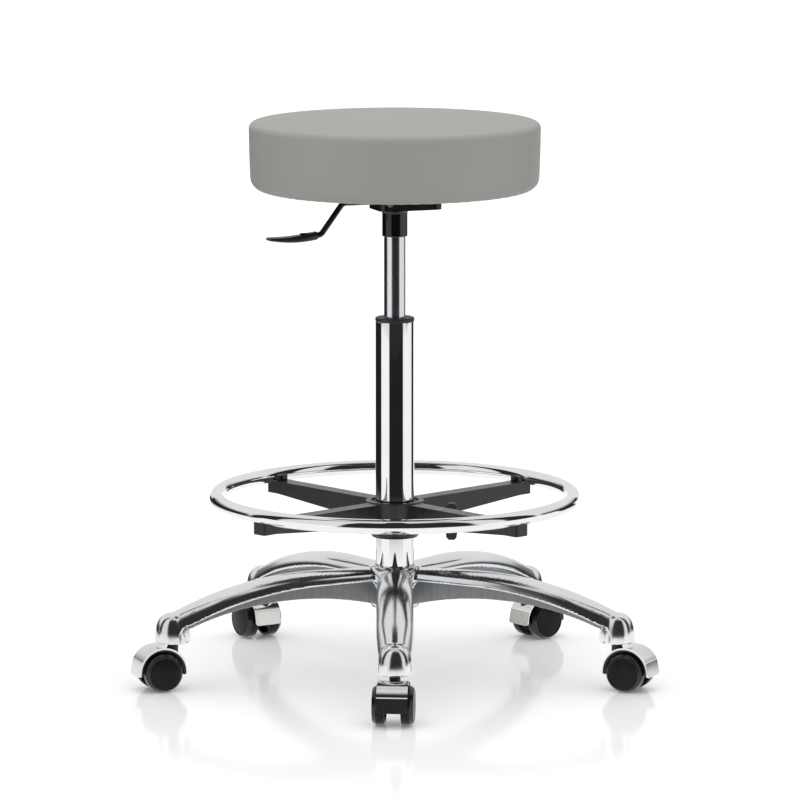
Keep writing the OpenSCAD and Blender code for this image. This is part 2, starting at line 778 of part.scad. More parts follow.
// Leaf-shaped thumb paddle: a plan outline crossed with a side outline that dips on top
module lever_paddle() {
    tangent = bend_r * tan(atan2(lever_drop, grip_x - bend_x) / 2);
    start = grip_x + tangent + rest_gap;
    tip = start + paddle_l;
    root_w = lever_d + 2 * paddle_belly;
    top = grip_z_lever + paddle_t / 2;
    low = grip_z_lever - paddle_t / 2;
    steps = 10;
    color([0.12, 0.12, 0.12]) at_lever() difference() {
        intersection() {
            translate([0, 0, low - paddle_t]) linear_extrude(3 * paddle_t) polygon(concat(
                [for (i = [0 : steps]) let (s = i / steps)
                    [start + (tip - start) * s, -root_w / 2 - (paddle_w - root_w) / 2 * leaf(s)]],
                [for (i = [steps : -1 : 0]) let (s = i / steps)
                    [start + (tip - start) * s, root_w / 2 + (paddle_w - root_w) / 2 * leaf(s)]]));
            standing(2 * paddle_w) polygon(concat(
                [for (i = [0 : steps]) let (s = i / steps)
                    [start + (tip - start) * s, top - paddle_fall * s - paddle_dip * sin(180 * s)]],
                [for (i = [steps : -1 : 0]) let (s = i / steps)
                    [start + (tip - start) * s, low + (paddle_t - paddle_tip_t - paddle_fall) * s
                        - paddle_belly * sin(180 * s)]]));
        }
        rod_run([grip_x, grip_z_lever], [start + paddle_l / 3, grip_z_lever], lever_r + press_fit);
    }
}

// Share of the paddle's full width, from its root at 0 to its rounded tip at 1
function leaf(s) = s < 1 / 2 ? pow(sin(180 * s), 1 / 2)
    : 1 - 2 * pow(2 * s - 1, 6) / 3 - pow(2 * s - 1, 2) / 3;

module seat_bolts() {
    color("dimgray") at_lever() at_bolts() {
        translate([0, 0, plate_z]) cylinder(d = bolt_d, h = plate_t + lining_t + nut_barrel_h);
        translate([0, 0, plate_z - bolt_head_h]) cylinder(r = bolt_head_r, h = bolt_head_h, $fn = 6);
    }
}

module t_nuts() {
    top = board_z + board_t;
    color("silver") at_lever() at_bolts() difference() {
        union() {
            translate([0, 0, top - nut_barrel_h]) cylinder(r = nut_barrel_r, h = nut_barrel_h);
            translate([0, 0, top - nut_flange_t]) cylinder(r = nut_flange_r, h = nut_flange_t);
        }
        translate([0, 0, board_z]) cylinder(d = bolt_d + 2 * press_fit, h = board_t + cut);
    }
}

module seat_board() {
    top = board_z + board_t;
    color("burlywood") difference() {
        translate([0, 0, board_z]) cylinder(r = board_r, h = board_t);
        at_lever() at_bolts() {
            translate([0, 0, board_z - cut])
                cylinder(r = nut_barrel_r + press_fit, h = board_t + 2 * cut);
            translate([0, 0, top - nut_flange_t])
                cylinder(r = nut_flange_r + press_fit, h = cut + nut_flange_t);
        }
    }
}

module dust_cover() {
    color([0.1, 0.1, 0.1]) difference() {
        translate([0, 0, board_z - lining_t]) cylinder(r = lining_r, h = lining_t);
        at_lever() at_bolts() translate([0, 0, board_z - lining_t - cut])
            cylinder(d = bolt_d + 2 * rest_gap, h = lining_t + 2 * cut);
    }
}

// Half outline of the cushion: bottom roll, drawn-in side, rounded rim and crown
function cushion_points(inset) =
    let (r = seat_r - inset, low = seat_z + inset, high = seat_z + seat_h - inset,
         roll = roll_r - inset, rim = rim_r - inset,
         rim_x = r - rim, rim_top = high, side_low = low + roll, side_high = high - rim)
    concat(
        [[0, low]],
        arc(r - draw_in - roll, side_low, roll, -90, 0, 8),
        [for (i = [1 : 5]) let (s = i / 6)
            [r - draw_in * pow(1 - s, 2), side_low + (side_high - side_low) * s]],
        arc(rim_x, side_high, rim, 0, 88, 8),
        [for (i = [1 : 9]) let (s = 1 - i / 9) [rim_x * s, rim_top + crown * (1 - s * s)]]);

module seat_foam() {
    color("khaki") difference() {
        turned(cushion_points(cover_t));
        translate([0, 0, board_z - cut]) cylinder(r = board_r, h = board_t + cut);
    }
}

module seat_cover() {
    color([0.6, 0.59, 0.57]) difference() {
        turned(cushion_points(0));
        turned(cushion_points(cover_t));
        translate([0, 0, seat_z - cut]) cylinder(r = cover_opening_r, h = 2 * cut);
    }
}

// Split sleeve with a flange at each end
module footring_liner() {
    top = arm_top_z - recess_depth + liner_flange_t + rest_gap;
    foot = carrier_foot_z - liner_flange_t - rest_gap;
    color([0.16, 0.16, 0.16]) difference() {
        union() {
            translate([0, 0, foot]) cylinder(r = liner_out_r, h = top - foot);
            translate([0, 0, foot]) cylinder(r = liner_flange_r, h = liner_flange_t);
            translate([0, 0, top - liner_flange_t]) cylinder(r = liner_flange_r, h = liner_flange_t);
        }
        translate([0, 0, foot - cut]) cylinder(r = liner_in_r, h = top - foot + 2 * cut);
        translate([-liner_flange_r - cut, -liner_slot_w / 2, foot - cut])
            cube([liner_flange_r, liner_slot_w, top - foot + 2 * cut]);
    }
}

// Puts a piece of the footring at its turn about the column
module at_ring() {
    rotate(ring_turn) children();
}

module at_arms() {
    for (i = [0 : arm_count - 1]) rotate(arm_first + 360 * i / arm_count) children();
}

module ring_saddle(clear) {
    translate([0, 0, ring_z]) rotate_extrude() translate([ring_r, 0]) circle(r = tube_r + clear);
}

// Side outline of an arm, inset from its top and running on past its tip
module arm_outline(inset) {
    polygon([[0, arm_top_z - inset], [arm_tip_r + cut, arm_top_z - inset],
        [arm_tip_r + cut, arm_top_z - arm_tip_h - inset],
        [arm_tip_r - arm_w, arm_top_z - arm_tip_h - inset],
        [carrier_foot_d / 2 - arm_wall, arm_top_z - arm_root_h - inset],
        [0, arm_top_z - arm_root_h - inset]]);
}

// Plan outline of an arm with the rounded corners of its square tip
module arm_plan(inset, corner_r) {
    rounded(-corner_r, arm_tip_r - inset, arm_w - 2 * inset, corner_r);
}

// Channel arm, open below, with the lug that holds the ring against its saddle
module carrier_arm() {
    lug_x = ring_r - tube_r - lug_l / 2;
    difference() {
        intersection() {
            standing(2 * arm_w) arm_outline(0);
            linear_extrude(ring_z) arm_plan(0, arm_corner_r);
        }
        difference() {
            intersection() {
                standing(2 * arm_w) arm_outline(arm_wall);
                linear_extrude(ring_z) arm_plan(arm_wall, arm_corner_r / 4);
            }
            cylinder(d = carrier_foot_d, h = ring_z);
            translate([lug_x - arm_wall / 2, -arm_w / 2, 0]) cube([arm_wall, arm_w, ring_z]);
        }
    }
    translate([lug_x, -lug_w / 2, arm_top_z - arm_wall])
        cube([lug_l, lug_w, ring_z + lug_rise - arm_top_z + arm_wall]);
}

module footring_spider() {
    rim_z = arm_top_z + carrier_rim;
    color([0.1, 0.1, 0.1]) at_ring() difference() {
        union() {
            turned([[0, carrier_foot_z], [carrier_foot_d / 2 - carrier_edge, carrier_foot_z],
                [carrier_foot_d / 2, carrier_foot_z + carrier_edge],
                [carrier_top_d / 2, arm_top_z - carrier_edge],
                [carrier_top_d / 2, rim_z - carrier_edge / 2],
                [carrier_top_d / 2 - carrier_edge / 2, rim_z], [0, rim_z]]);
            at_arms() carrier_arm();
            translate([0, 0, clamp_z]) rotate([0, 90, 0]) cylinder(r = clamp_boss_r, h = clamp_boss_x);
        }
        translate([0, 0, carrier_foot_z - cut])
            cylinder(r = liner_out_r + run_fit, h = carrier_h + 2 * cut + carrier_rim);
        translate([0, 0, arm_top_z - recess_depth])
            cylinder(r = recess_r, h = recess_depth + carrier_rim + cut);
        translate([0, 0, clamp_z]) rotate([0, 90, 0]) cylinder(r = pad_r + run_fit, h = pad_bore_x);
        translate([0, 0, clamp_z]) rotate([0, 90, 0])
            cylinder(r = stud_r + run_fit, h = clamp_boss_x + cut);
        ring_saddle(press_fit);
        at_arms() at_screw() cylinder(d = screw_d + 2 * press_fit, h = 3 * lug_l);
    }
}

// Axis of a ring screw, from the lug's inner face towards the tube
module at_screw() {
    translate([ring_r - tube_r - lug_l / 2, 0, screw_z]) rotate([0, 90, 0]) children();
}

module footring_tube() {
    color("gainsboro") at_ring() difference() {
        ring_saddle(0);
        translate([0, 0, ring_z]) rotate_extrude() translate([ring_r, 0]) circle(r = tube_r - ring_wall);
        at_arms() at_screw() cylinder(d = screw_d + 2 * press_fit, h = lug_l);
    }
}

module footring_screws() {
    color("dimgray") at_ring() at_arms() at_screw() {
        cylinder(d = screw_d, h = lug_l - ring_wall);
        translate([0, 0, -screw_head_h]) cylinder(r = screw_head_r, h = screw_head_h);
    }
}

// Puts a piece of the clamp on the stud's axis, with +Z of the piece pointing outward
module at_clamp() {
    at_ring() translate([0, 0, clamp_z]) rotate([0, 90, 0]) children();
}

module clamp_pad() {
    color("gold") at_clamp() translate([0, 0, pad_x]) cylinder(r = pad_r, h = pad_t);
}

module clamp_stud() {
    foot = pad_x + pad_t + rest_gap;
    color("silver") at_clamp() translate([0, 0, foot])
        cylinder(r = stud_r, h = knob_x + knob_w / 2 - foot);
}

// Wing knob: a sleeve round the stud and a wing that narrows to its ends
module clamp_knob() {
    half = knob_span / 2;
    middle = knob_w / 2;
    tip = knob_w * knob_end_share / 2;
    color([0.1, 0.1, 0.1]) at_clamp() difference() {
        union() {
            translate([0, 0, knob_sleeve_x])
                cylinder(r = knob_sleeve_r, h = knob_w / 2 + knob_x - knob_sleeve_x);
            translate([0, knob_wing_t / 2, knob_x + middle]) rotate([90, 0, 0])
                linear_extrude(knob_wing_t) polygon([
                    [-half + knob_round_r, -tip], [0, -middle], [half - knob_round_r, -tip],
                    [half, knob_round_r - tip], [half, tip - knob_round_r],
                    [half - knob_round_r, tip], [0, middle], [-half + knob_round_r, tip],
                    [-half, tip - knob_round_r], [-half, knob_round_r - tip]]);
        }
        translate([0, 0, knob_sleeve_x - cut])
            cylinder(r = stud_r + press_fit, h = knob_x + knob_w / 2 + cut - knob_sleeve_x);
    }
}

// Puts a caster's piece at its stem and turns +X to the way it trails
module at_caster(i) {
    turn = front + leg_step * i;
    translate([stem_circle_r * cos(turn), stem_circle_r * sin(turn), 0])
        rotate(trail_turns[i]) children();
}

// Sector between two angles round the axle, seen from the side
module sector(outer_r, inner_r, a, b) {
    translate([trail, axle_z]) difference() {
        intersection() {
            circle(r = outer_r);
            polygon(concat([[0, 0]], arc(0, 0, 2 * outer_r, a, b, 4)));
        }
        circle(r = inner_r);
    }
}

// Nylon body: arched shell, middle web, axle boss and the neck round the stem
module caster_body() {
    color([0.1, 0.1, 0.1]) difference() {
        union() {
            standing(hood_w - 2 * hood_t)
                sector(shell_out_r - press_fit, shell_in_r, hood_front_angle, hood_back_angle);
            standing(caster_web_t)
                sector(shell_in_r + shell_t / 2, axle_boss_r / 2,
                    caster_web_angle, 180 - caster_web_angle);
            translate([trail, tread_in - rest_gap, axle_z]) rotate([90, 0, 0])
                cylinder(r = axle_boss_r, h = 2 * (tread_in - rest_gap));
            translate([0, 0, stem_foot_z - web_t])
                cylinder(d = neck_d, h = neck_top_z - stem_foot_z + web_t);
        }
        translate([0, 0, stem_foot_z - rest_gap]) cylinder(d = stem_d + 2 * run_fit, h = neck_top_z);
        translate([trail, face_out, axle_z]) rotate([90, 0, 0])
            cylinder(d = axle_d + 2 * press_fit, h = 2 * face_out);
    }
}

// Metal hood over the shell, with pressed grooves, rounded corners and a hole for the neck
module caster_hood() {
    plate_foot = axle_z + hood_out_r * sin(hood_front_angle);
    color("gainsboro") difference() {
        intersection() {
            standing(hood_w) sector(hood_out_r, shell_out_r, hood_front_angle, hood_back_angle);
            translate([trail - 2 * hood_out_r, 0, 0]) rotate([90, 0, 90])
                linear_extrude(4 * hood_out_r) {
                    for (y = [hood_corner_r - hood_w / 2, hood_w / 2 - hood_corner_r])
                        translate([y, plate_foot + hood_corner_r]) circle(r = hood_corner_r);
                    translate([-hood_w / 2, plate_foot + hood_corner_r])
                        square([hood_w, 2 * hood_out_r]);
                    translate([hood_corner_r - hood_w / 2, plate_foot])
                        square([hood_w - 2 * hood_corner_r, hood_out_r]);
                }
        }
        for (angle = [hood_groove_angle, 180 - hood_groove_angle])
            translate([trail, 0, axle_z]) rotate([0, -angle, 0])
                translate([hood_out_r - hood_groove_t, -hood_w, -hood_groove_w / 2])
                    cube([hood_t, 2 * hood_w, hood_groove_w]);
        cylinder(d = neck_d + 2 * rest_gap, h = neck_top_z);
    }
}

module caster_axle() {
    color("silver") translate([trail, axle_half, axle_z]) rotate([90, 0, 0])
        cylinder(d = axle_d, h = 2 * axle_half);
}

// Wheel turned about the axle: rounded tread, ringed and domed face, cupped inside
module caster_wheel(side) {
    ring_edge_r = wheel_r * face_ring_share;
    disc_r = wheel_r * face_disc_share;
    face_low = tread_out + face_bulge / 3;
    face_mid = tread_out + face_bulge * 2 / 3;
    color([0.14, 0.14, 0.14]) translate([trail, 0, axle_z]) rotate([side * -90, 0, 0]) difference() {
        turned(concat(
            [[0, tread_in], [wheel_r - wheel_edge_r, tread_in]],
            arc(wheel_r - wheel_edge_r, tread_in + wheel_edge_r, wheel_edge_r, -90, 0, 4),
            arc(wheel_r - wheel_edge_r, tread_out - wheel_edge_r, wheel_edge_r, 0, 60, 4),
            [[ring_edge_r, face_low], [ring_edge_r - face_step, face_low + face_step],
             [disc_r + face_step, face_mid], [disc_r, face_mid - face_step]],
            [for (i = [0 : 6]) let (s = 1 - i / 6)
                [(disc_r - face_step) * s, face_mid + (face_out - face_mid) * (1 - s * s)]]));
        ring(wheel_r - wheel_rim_t, wheel_hub_r, tread_in - cut, wheel_cup_t + cut);
        translate([0, 0, tread_in - cut])
            cylinder(d = axle_d + 2 * run_fit, h = axle_half + rest_gap - tread_in + cut);
    }
}

base_casting();
caster_stems();
column_tube();
guide_bush();
bearing_washer_lower();
bearing_cage();
bearing_washer_upper();
rubber_bumper();
piston_rod();
piston();
rod_clip();
gas_cylinder();
rod_guide();
rod_seal();
valve_block();
release_pin();
lift_socket();
mechanism_pan();
mount_plate();
lever_pivot_pin();
lever_rod();
lever_paddle();
seat_bolts();
t_nuts();
seat_board();
dust_cover();
seat_foam();
seat_cover();
footring_liner();
footring_spider();
footring_tube();
footring_screws();
clamp_pad();
clamp_stud();
clamp_knob();
for (i = [0 : leg_count - 1]) {
    name = str("caster_", i + 1);
    at_caster(i) caster_body();
    at_caster(i) caster_hood();
    at_caster(i) caster_axle();
    at_caster(i) caster_wheel(1);
    at_caster(i) caster_wheel(-1);
}
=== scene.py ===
import json
import math

import bmesh
import bpy
import numpy as np
from mathutils import Matrix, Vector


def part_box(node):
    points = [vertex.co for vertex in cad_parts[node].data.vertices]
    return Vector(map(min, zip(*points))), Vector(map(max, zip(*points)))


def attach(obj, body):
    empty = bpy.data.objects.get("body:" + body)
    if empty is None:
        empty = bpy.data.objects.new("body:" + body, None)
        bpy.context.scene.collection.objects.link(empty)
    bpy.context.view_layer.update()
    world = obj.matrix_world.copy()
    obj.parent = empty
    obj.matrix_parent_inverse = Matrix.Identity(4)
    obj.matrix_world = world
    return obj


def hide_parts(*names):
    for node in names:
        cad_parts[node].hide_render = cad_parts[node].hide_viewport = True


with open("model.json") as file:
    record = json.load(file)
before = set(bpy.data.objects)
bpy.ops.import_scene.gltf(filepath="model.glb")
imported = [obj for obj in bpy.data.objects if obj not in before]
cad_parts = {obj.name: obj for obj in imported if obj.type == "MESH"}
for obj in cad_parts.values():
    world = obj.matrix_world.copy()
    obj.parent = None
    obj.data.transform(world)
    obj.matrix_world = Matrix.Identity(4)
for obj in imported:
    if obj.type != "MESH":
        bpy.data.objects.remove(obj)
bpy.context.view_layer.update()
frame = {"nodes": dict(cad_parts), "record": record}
nodes = frame["nodes"]
bodyOf = {n: body for body, members in frame["record"]["behaviour"]["bodies"].items() for n in members}
mm = 0.001
print("frame loaded,", len(nodes), "nodes")


# camera, where the photographer stood

photoCamera = {
    "distance": 7.374, "height": 1.4965, "pitch": 0.1528, "pan": 0.0009, "lens": 259.8, "sensor": 36.0,
    "nearest": 0.1, "farthest": 100,
}


def placeCamera(v):
    data = bpy.data.cameras.new("photoCamera")
    data.lens, data.sensor_width = v["lens"], v["sensor"]
    data.clip_start, data.clip_end = v["nearest"], v["farthest"]
    cam = bpy.data.objects.new("photoCamera", data)
    bpy.context.collection.objects.link(cam)
    cam.location = (0, -v["distance"], v["height"])
    cam.rotation_euler = (math.pi / 2 - v["pitch"], 0, -v["pan"])
    bpy.context.scene.camera = cam


placeCamera(photoCamera)


# small helpers for node trees

def newMaterial(name):
    mat = bpy.data.materials.new(name)
    mat.use_nodes = True
    tree = mat.node_tree
    return mat, tree, tree.nodes["Principled BSDF"]


def calc(tree, kind, a, b=0.0):
    n = tree.nodes.new("ShaderNodeMath")
    n.operation = kind
    for i, value in enumerate((a, b)):
        if isinstance(value, (int, float)):
            n.inputs[i].default_value = value
        else:
            tree.links.new(value, n.inputs[i])
    return n.outputs[0]


noiseLow, noiseHigh = 0.3, 0.7  # the part of a noise that carries its contrast


def remap(tree, value, low, high, start=noiseLow, end=noiseHigh, kind="LINEAR"):
    n = tree.nodes.new("ShaderNodeMapRange")
    n.interpolation_type = kind
    for key, v in (("From Min", start), ("From Max", end), ("To Min", low), ("To Max", high)):
        n.inputs[key].default_value = v
    tree.links.new(value, n.inputs["Value"])
    return n.outputs["Result"]


def step(tree, value, start, end):
    return remap(tree, value, 0, 1, start, end, "SMOOTHSTEP")


def noise(tree, scale, detail=3, stretch=(1, 1, 1)):
    spot = tree.nodes.new("ShaderNodeTexCoord")
    mapping = tree.nodes.new("ShaderNodeMapping")
    mapping.inputs["Scale"].default_value = stretch
    n = tree.nodes.new("ShaderNodeTexNoise")
    n.inputs["Scale"].default_value = scale
    n.inputs["Detail"].default_value = detail
    tree.links.new(spot.outputs["Object"], mapping.inputs["Vector"])
    tree.links.new(mapping.outputs["Vector"], n.inputs["Vector"])
    return n.outputs["Fac"]


def tint(tree, value, a, b, start=noiseLow, end=noiseHigh):
    ramp = tree.nodes.new("ShaderNodeValToRGB")
    for e, spot, colour in ((0, start, a), (1, end, b)):
        ramp.color_ramp.elements[e].position = spot
        ramp.color_ramp.elements[e].color = (*colour, 1)
    tree.links.new(value, ramp.inputs["Fac"])
    return ramp.outputs["Color"]


def bump(tree, shader, height, strength, depth):
    n = tree.nodes.new("ShaderNodeBump")
    n.inputs["Strength"].default_value = strength
    n.inputs["Distance"].default_value = depth * mm
    tree.links.new(height, n.inputs["Height"])
    tree.links.new(n.outputs["Normal"], shader.inputs["Normal"])


# finishes

even = (1, 1, 1)


def brightMetal(name, v):
    mat, tree, shader = newMaterial(name)
    shader.inputs["Metallic"].default_value = 1
    stretch = v.get("stretch", even)
    cloud = noise(tree, v["cloud"], 3, stretch)
    haze = noise(tree, v["cloud"] * 4, 4, stretch)  # four specks of haze to one of tone
    tree.links.new(tint(tree, cloud, v["dim"], v["bright"]), shader.inputs["Base Color"])
    tree.links.new(remap(tree, haze, v["smooth"], v["hazy"]), shader.inputs["Roughness"])
    if "ripple" in v:
        bump(tree, shader, noise(tree, v["rippleScale"], 2, stretch), v["ripple"], v["rippleDepth"])
    return mat


def castSkin(v):
    mat, tree, shader = newMaterial("castSkin")
    shader.inputs["Metallic"].default_value = 1
    strokes = noise(tree, v["strokes"], 3, v["strokeStretch"])
    grain = noise(tree, v["grain"], 2)
    tree.links.new(tint(tree, strokes, v["dim"], v["bright"]), shader.inputs["Base Color"])
    tree.links.new(remap(tree, grain, v["smooth"], v["rough"]), shader.inputs["Roughness"])
    bump(tree, shader, grain, v["bump"], v["depth"])
    return mat


blackMottle = {"tone": 60, "gloss": 120, "depth": 0.2, "shine": 0.5}


def blackFinish(name, v, m=blackMottle):
    mat, tree, shader = newMaterial(name)
    tree.links.new(tint(tree, noise(tree, m["tone"]), v["dark"], v["light"]), shader.inputs["Base Color"])
    tree.links.new(remap(tree, noise(tree, m["gloss"]), v["smooth"], v["rough"]), shader.inputs["Roughness"])
    bump(tree, shader, noise(tree, v["grain"], 2), v["bump"], m["depth"])
    shader.inputs["Specular IOR Level"].default_value = v.get("shine", m["shine"])
    return mat


def vinylSkin(v):
    mat, tree, shader = newMaterial("vinylSkin")
    tone, gloss = noise(tree, v["toneScale"], 2), noise(tree, v["glossScale"])
    tree.links.new(tint(tree, tone, v["dark"], v["light"]), shader.inputs["Base Color"])
    tree.links.new(remap(tree, gloss, v["smooth"], v["rough"]), shader.inputs["Roughness"])
    shader.inputs["Specular IOR Level"].default_value = v["shine"]
    spot = tree.nodes.new("ShaderNodeTexCoord")
    cells = tree.nodes.new("ShaderNodeTexVoronoi")
    cells.feature = "DISTANCE_TO_EDGE"
    cells.inputs["Scale"].default_value = v["poreScale"]
    tree.links.new(spot.outputs["Object"], cells.inputs["Vector"])
    pores = calc(tree, "MULTIPLY", remap(tree, cells.outputs["Distance"], 0, 1, 0, v["poreEdge"]), v["pores"])
    slackness = noise(tree, v["slackScale"], 2)
    bump(tree, shader, calc(tree, "ADD", pores, slackness), v["relief"], v["depth"])
    return mat


def softFinish(name, v):
    mat, tree, shader = newMaterial(name)
    fibre = noise(tree, v["scale"], 4, v.get("stretch", even))
    tree.links.new(tint(tree, fibre, v["dark"], v["light"]), shader.inputs["Base Color"])
    tree.links.new(remap(tree, fibre, v["smooth"], v["rough"]), shader.inputs["Roughness"])
    bump(tree, shader, fibre, v["relief"], v["depth"])
    return mat


finish = {
    "chrome": brightMetal("chromePlate", {
        "cloud": 14, "dim": (0.85, 0.85, 0.86), "bright": (0.92, 0.92, 0.92), "smooth": 0.03, "hazy": 0.06}),
    "liftSteel": brightMetal("groundSteel", {
        "cloud": 30, "stretch": (1, 1, 0.1), "dim": (0.74, 0.76, 0.79), "bright": (0.80, 0.82, 0.84),
        "smooth": 0.19, "hazy": 0.23}),
    "casting": brightMetal("polishedCasting", {
        "cloud": 9, "dim": (0.78, 0.80, 0.82), "bright": (0.88, 0.89, 0.91), "smooth": 0.13, "hazy": 0.2,
        "ripple": 0.02, "rippleScale": 60, "rippleDepth": 0.4}),
    "hood": brightMetal("hoodPlate", {
        "cloud": 22, "dim": (0.74, 0.73, 0.71), "bright": (0.86, 0.85, 0.83), "smooth": 0.07, "hazy": 0.13}),
    "zinc": brightMetal("zincSteel", {
        "cloud": 120, "dim": (0.45, 0.46, 0.48), "bright": (0.66, 0.67, 0.68), "smooth": 0.28, "hazy": 0.42}),
    "brass": brightMetal("turnedBrass", {
        "cloud": 120, "dim": (0.55, 0.42, 0.18), "bright": (0.74, 0.60, 0.30), "smooth": 0.25, "hazy": 0.4}),
    "cast": castSkin({
        "dim": (0.30, 0.31, 0.32), "bright": (0.36, 0.37, 0.38), "smooth": 0.42, "rough": 0.55,
        "strokes": 240, "strokeStretch": (1, 1, 0.05), "grain": 1100, "bump": 0.4, "depth": 0.3}),
    "coat": blackFinish("powderCoat", {
        "dark": (0.006, 0.006, 0.006), "light": (0.014, 0.014, 0.014), "smooth": 0.2, "rough": 0.32,
        "grain": 700, "bump": 0.12}),
    "spider": blackFinish("glassFilledNylon", {
        "dark": (0.016, 0.017, 0.018), "light": (0.026, 0.027, 0.028), "smooth": 0.26, "rough": 0.36,
        "grain": 1400, "bump": 0.05}),
    "moulding": blackFinish("texturedNylon", {
        "dark": (0.022, 0.023, 0.024), "light": (0.036, 0.037, 0.038), "smooth": 0.42, "rough": 0.56,
        "grain": 1400, "bump": 0.3}),
    "wheel": blackFinish("wheelNylon", {
        "dark": (0.008, 0.008, 0.009), "light": (0.014, 0.014, 0.015), "smooth": 0.24, "rough": 0.32,
        "grain": 1500, "bump": 0.08, "shine": 0.16}),
    "wheelRing": blackFinish("glossNylon", {
        "dark": (0.004, 0.004, 0.004), "light": (0.008, 0.008, 0.008), "smooth": 0.05, "rough": 0.1,
        "grain": 900, "bump": 0.02}),
    "gloss": blackFinish("glossCoat", {
        "dark": (0.004, 0.004, 0.004), "light": (0.008, 0.008, 0.008), "smooth": 0.08, "rough": 0.14,
        "grain": 500, "bump": 0.03}),
    "rubber": blackFinish("blackRubber", {
        "dark": (0.012, 0.012, 0.012), "light": (0.03, 0.03, 0.03), "smooth": 0.6, "rough": 0.8,
        "grain": 900, "bump": 0.3}),
    "vinyl": vinylSkin({
        "dark": (0.395, 0.392, 0.372), "light": (0.412, 0.408, 0.388), "smooth": 0.44, "rough": 0.56,
        "shine": 0.45, "toneScale": 5, "glossScale": 300, "poreScale": 900, "poreEdge": 0.25, "pores": 0.12,
        "slackScale": 16, "relief": 0.1, "depth": 0.6}),
    "plywood": softFinish("plywoodGrain", {
        "scale": 40, "stretch": (0.25, 4, 4), "dark": (0.46, 0.30, 0.15), "light": (0.72, 0.54, 0.33),
        "smooth": 0.8, "rough": 0.95, "relief": 0.2, "depth": 0.4}),
    "lining": softFinish("liningCloth", {
        "scale": 900, "dark": (0.012, 0.012, 0.013), "light": (0.035, 0.035, 0.036),
        "smooth": 0.8, "rough": 0.95, "relief": 0.5, "depth": 0.4}),
}
print("finishes made")


# studio: white floor and room, a soft lamp overhead, and dark bands that only polished metal mirrors
# a band runs from one bearing to another, in degrees to the right of the camera, and up to a height

studio = {
    "roomLight": 0.93, "lampPower": 9, "lampHeight": 2.6, "lampSize": 2.2, "lampForward": 0.2,
    "floorHalf": 12,
    "roomBands": ((-36, 52, 64), (-14, 16, 80), (-102, -74, 86), (70, 100, 86), (-160, -100, 12),
                  (100, 160, 12)),
    "roomDark": 0.97, "topSoft": 8, "floorBands": ((-36, 52), (-165, -85), (114, 146)), "floorDark": 0.985,
    # the floor the camera sees is painted brighter than its true colour, and a painted glow on it grows with
    # distance from the object
    "soft": 5, "whiteReach": 0.7, "darkReach": 1.7, "floorColour": 0.8, "shownColour": 1.42,
    "wear": 0.005, "wearScale": 3, "nearGlow": 0.1, "farGlow": 0.3, "glowStart": 0.3, "glowEnd": 1.5,
    "floorGloss": 0.3, "floorHaze": 0.1,
}


def bearingOf(tree, x, y):
    turn = calc(tree, "ARCTAN2", x, calc(tree, "MULTIPLY", y, -1))
    return calc(tree, "MULTIPLY", turn, 180 / math.pi)


def band(tree, value, start, end, soft):
    return calc(tree, "SUBTRACT", step(tree, value, start, start + soft), step(tree, value, end - soft, end))


def inverse(tree, value):
    return calc(tree, "SUBTRACT", 1, value)


def darkest(tree, bands):
    dark = bands[0]
    for b in bands[1:]:
        dark = calc(tree, "MAXIMUM", dark, b)
    return dark


def buildWorld(v):
    world = bpy.data.worlds.new("studioRoom")
    bpy.context.scene.world = world
    world.use_nodes = True
    tree = world.node_tree
    tree.nodes.clear()
    out = tree.nodes.new("ShaderNodeOutputWorld")
    ray = tree.nodes.new("ShaderNodeLightPath")
    spot = tree.nodes.new("ShaderNodeTexCoord")
    split = tree.nodes.new("ShaderNodeSeparateXYZ")
    tree.links.new(spot.outputs["Generated"], split.inputs[0])
    x, y, z = split.outputs
    rise = calc(tree, "MULTIPLY", calc(tree, "ARCSINE", z), 180 / math.pi)
    bearing = bearingOf(tree, x, y)
    bands = []
    for start, end, height in v["roomBands"]:
        across = band(tree, bearing, start, end, v["soft"])
        below = inverse(tree, step(tree, rise, height - v["topSoft"], height + v["topSoft"]))
        bands.append(calc(tree, "MULTIPLY", across, below))
    mirrored = inverse(tree, calc(tree, "MULTIPLY", darkest(tree, bands), v["roomDark"]))
    glossy = ray.outputs["Is Glossy Ray"]
    plain = calc(tree, "MULTIPLY", inverse(tree, glossy), v["roomLight"])
    lit = calc(tree, "ADD", plain, calc(tree, "MULTIPLY", glossy, mirrored))
    seen = calc(tree, "MAXIMUM", ray.outputs["Is Camera Ray"], ray.outputs["Is Transmission Ray"])
    strength = calc(tree, "MAXIMUM", seen, lit)
    light = tree.nodes.new("ShaderNodeBackground")
    tree.links.new(strength, light.inputs["Strength"])
    tree.links.new(light.outputs[0], out.inputs["Surface"])


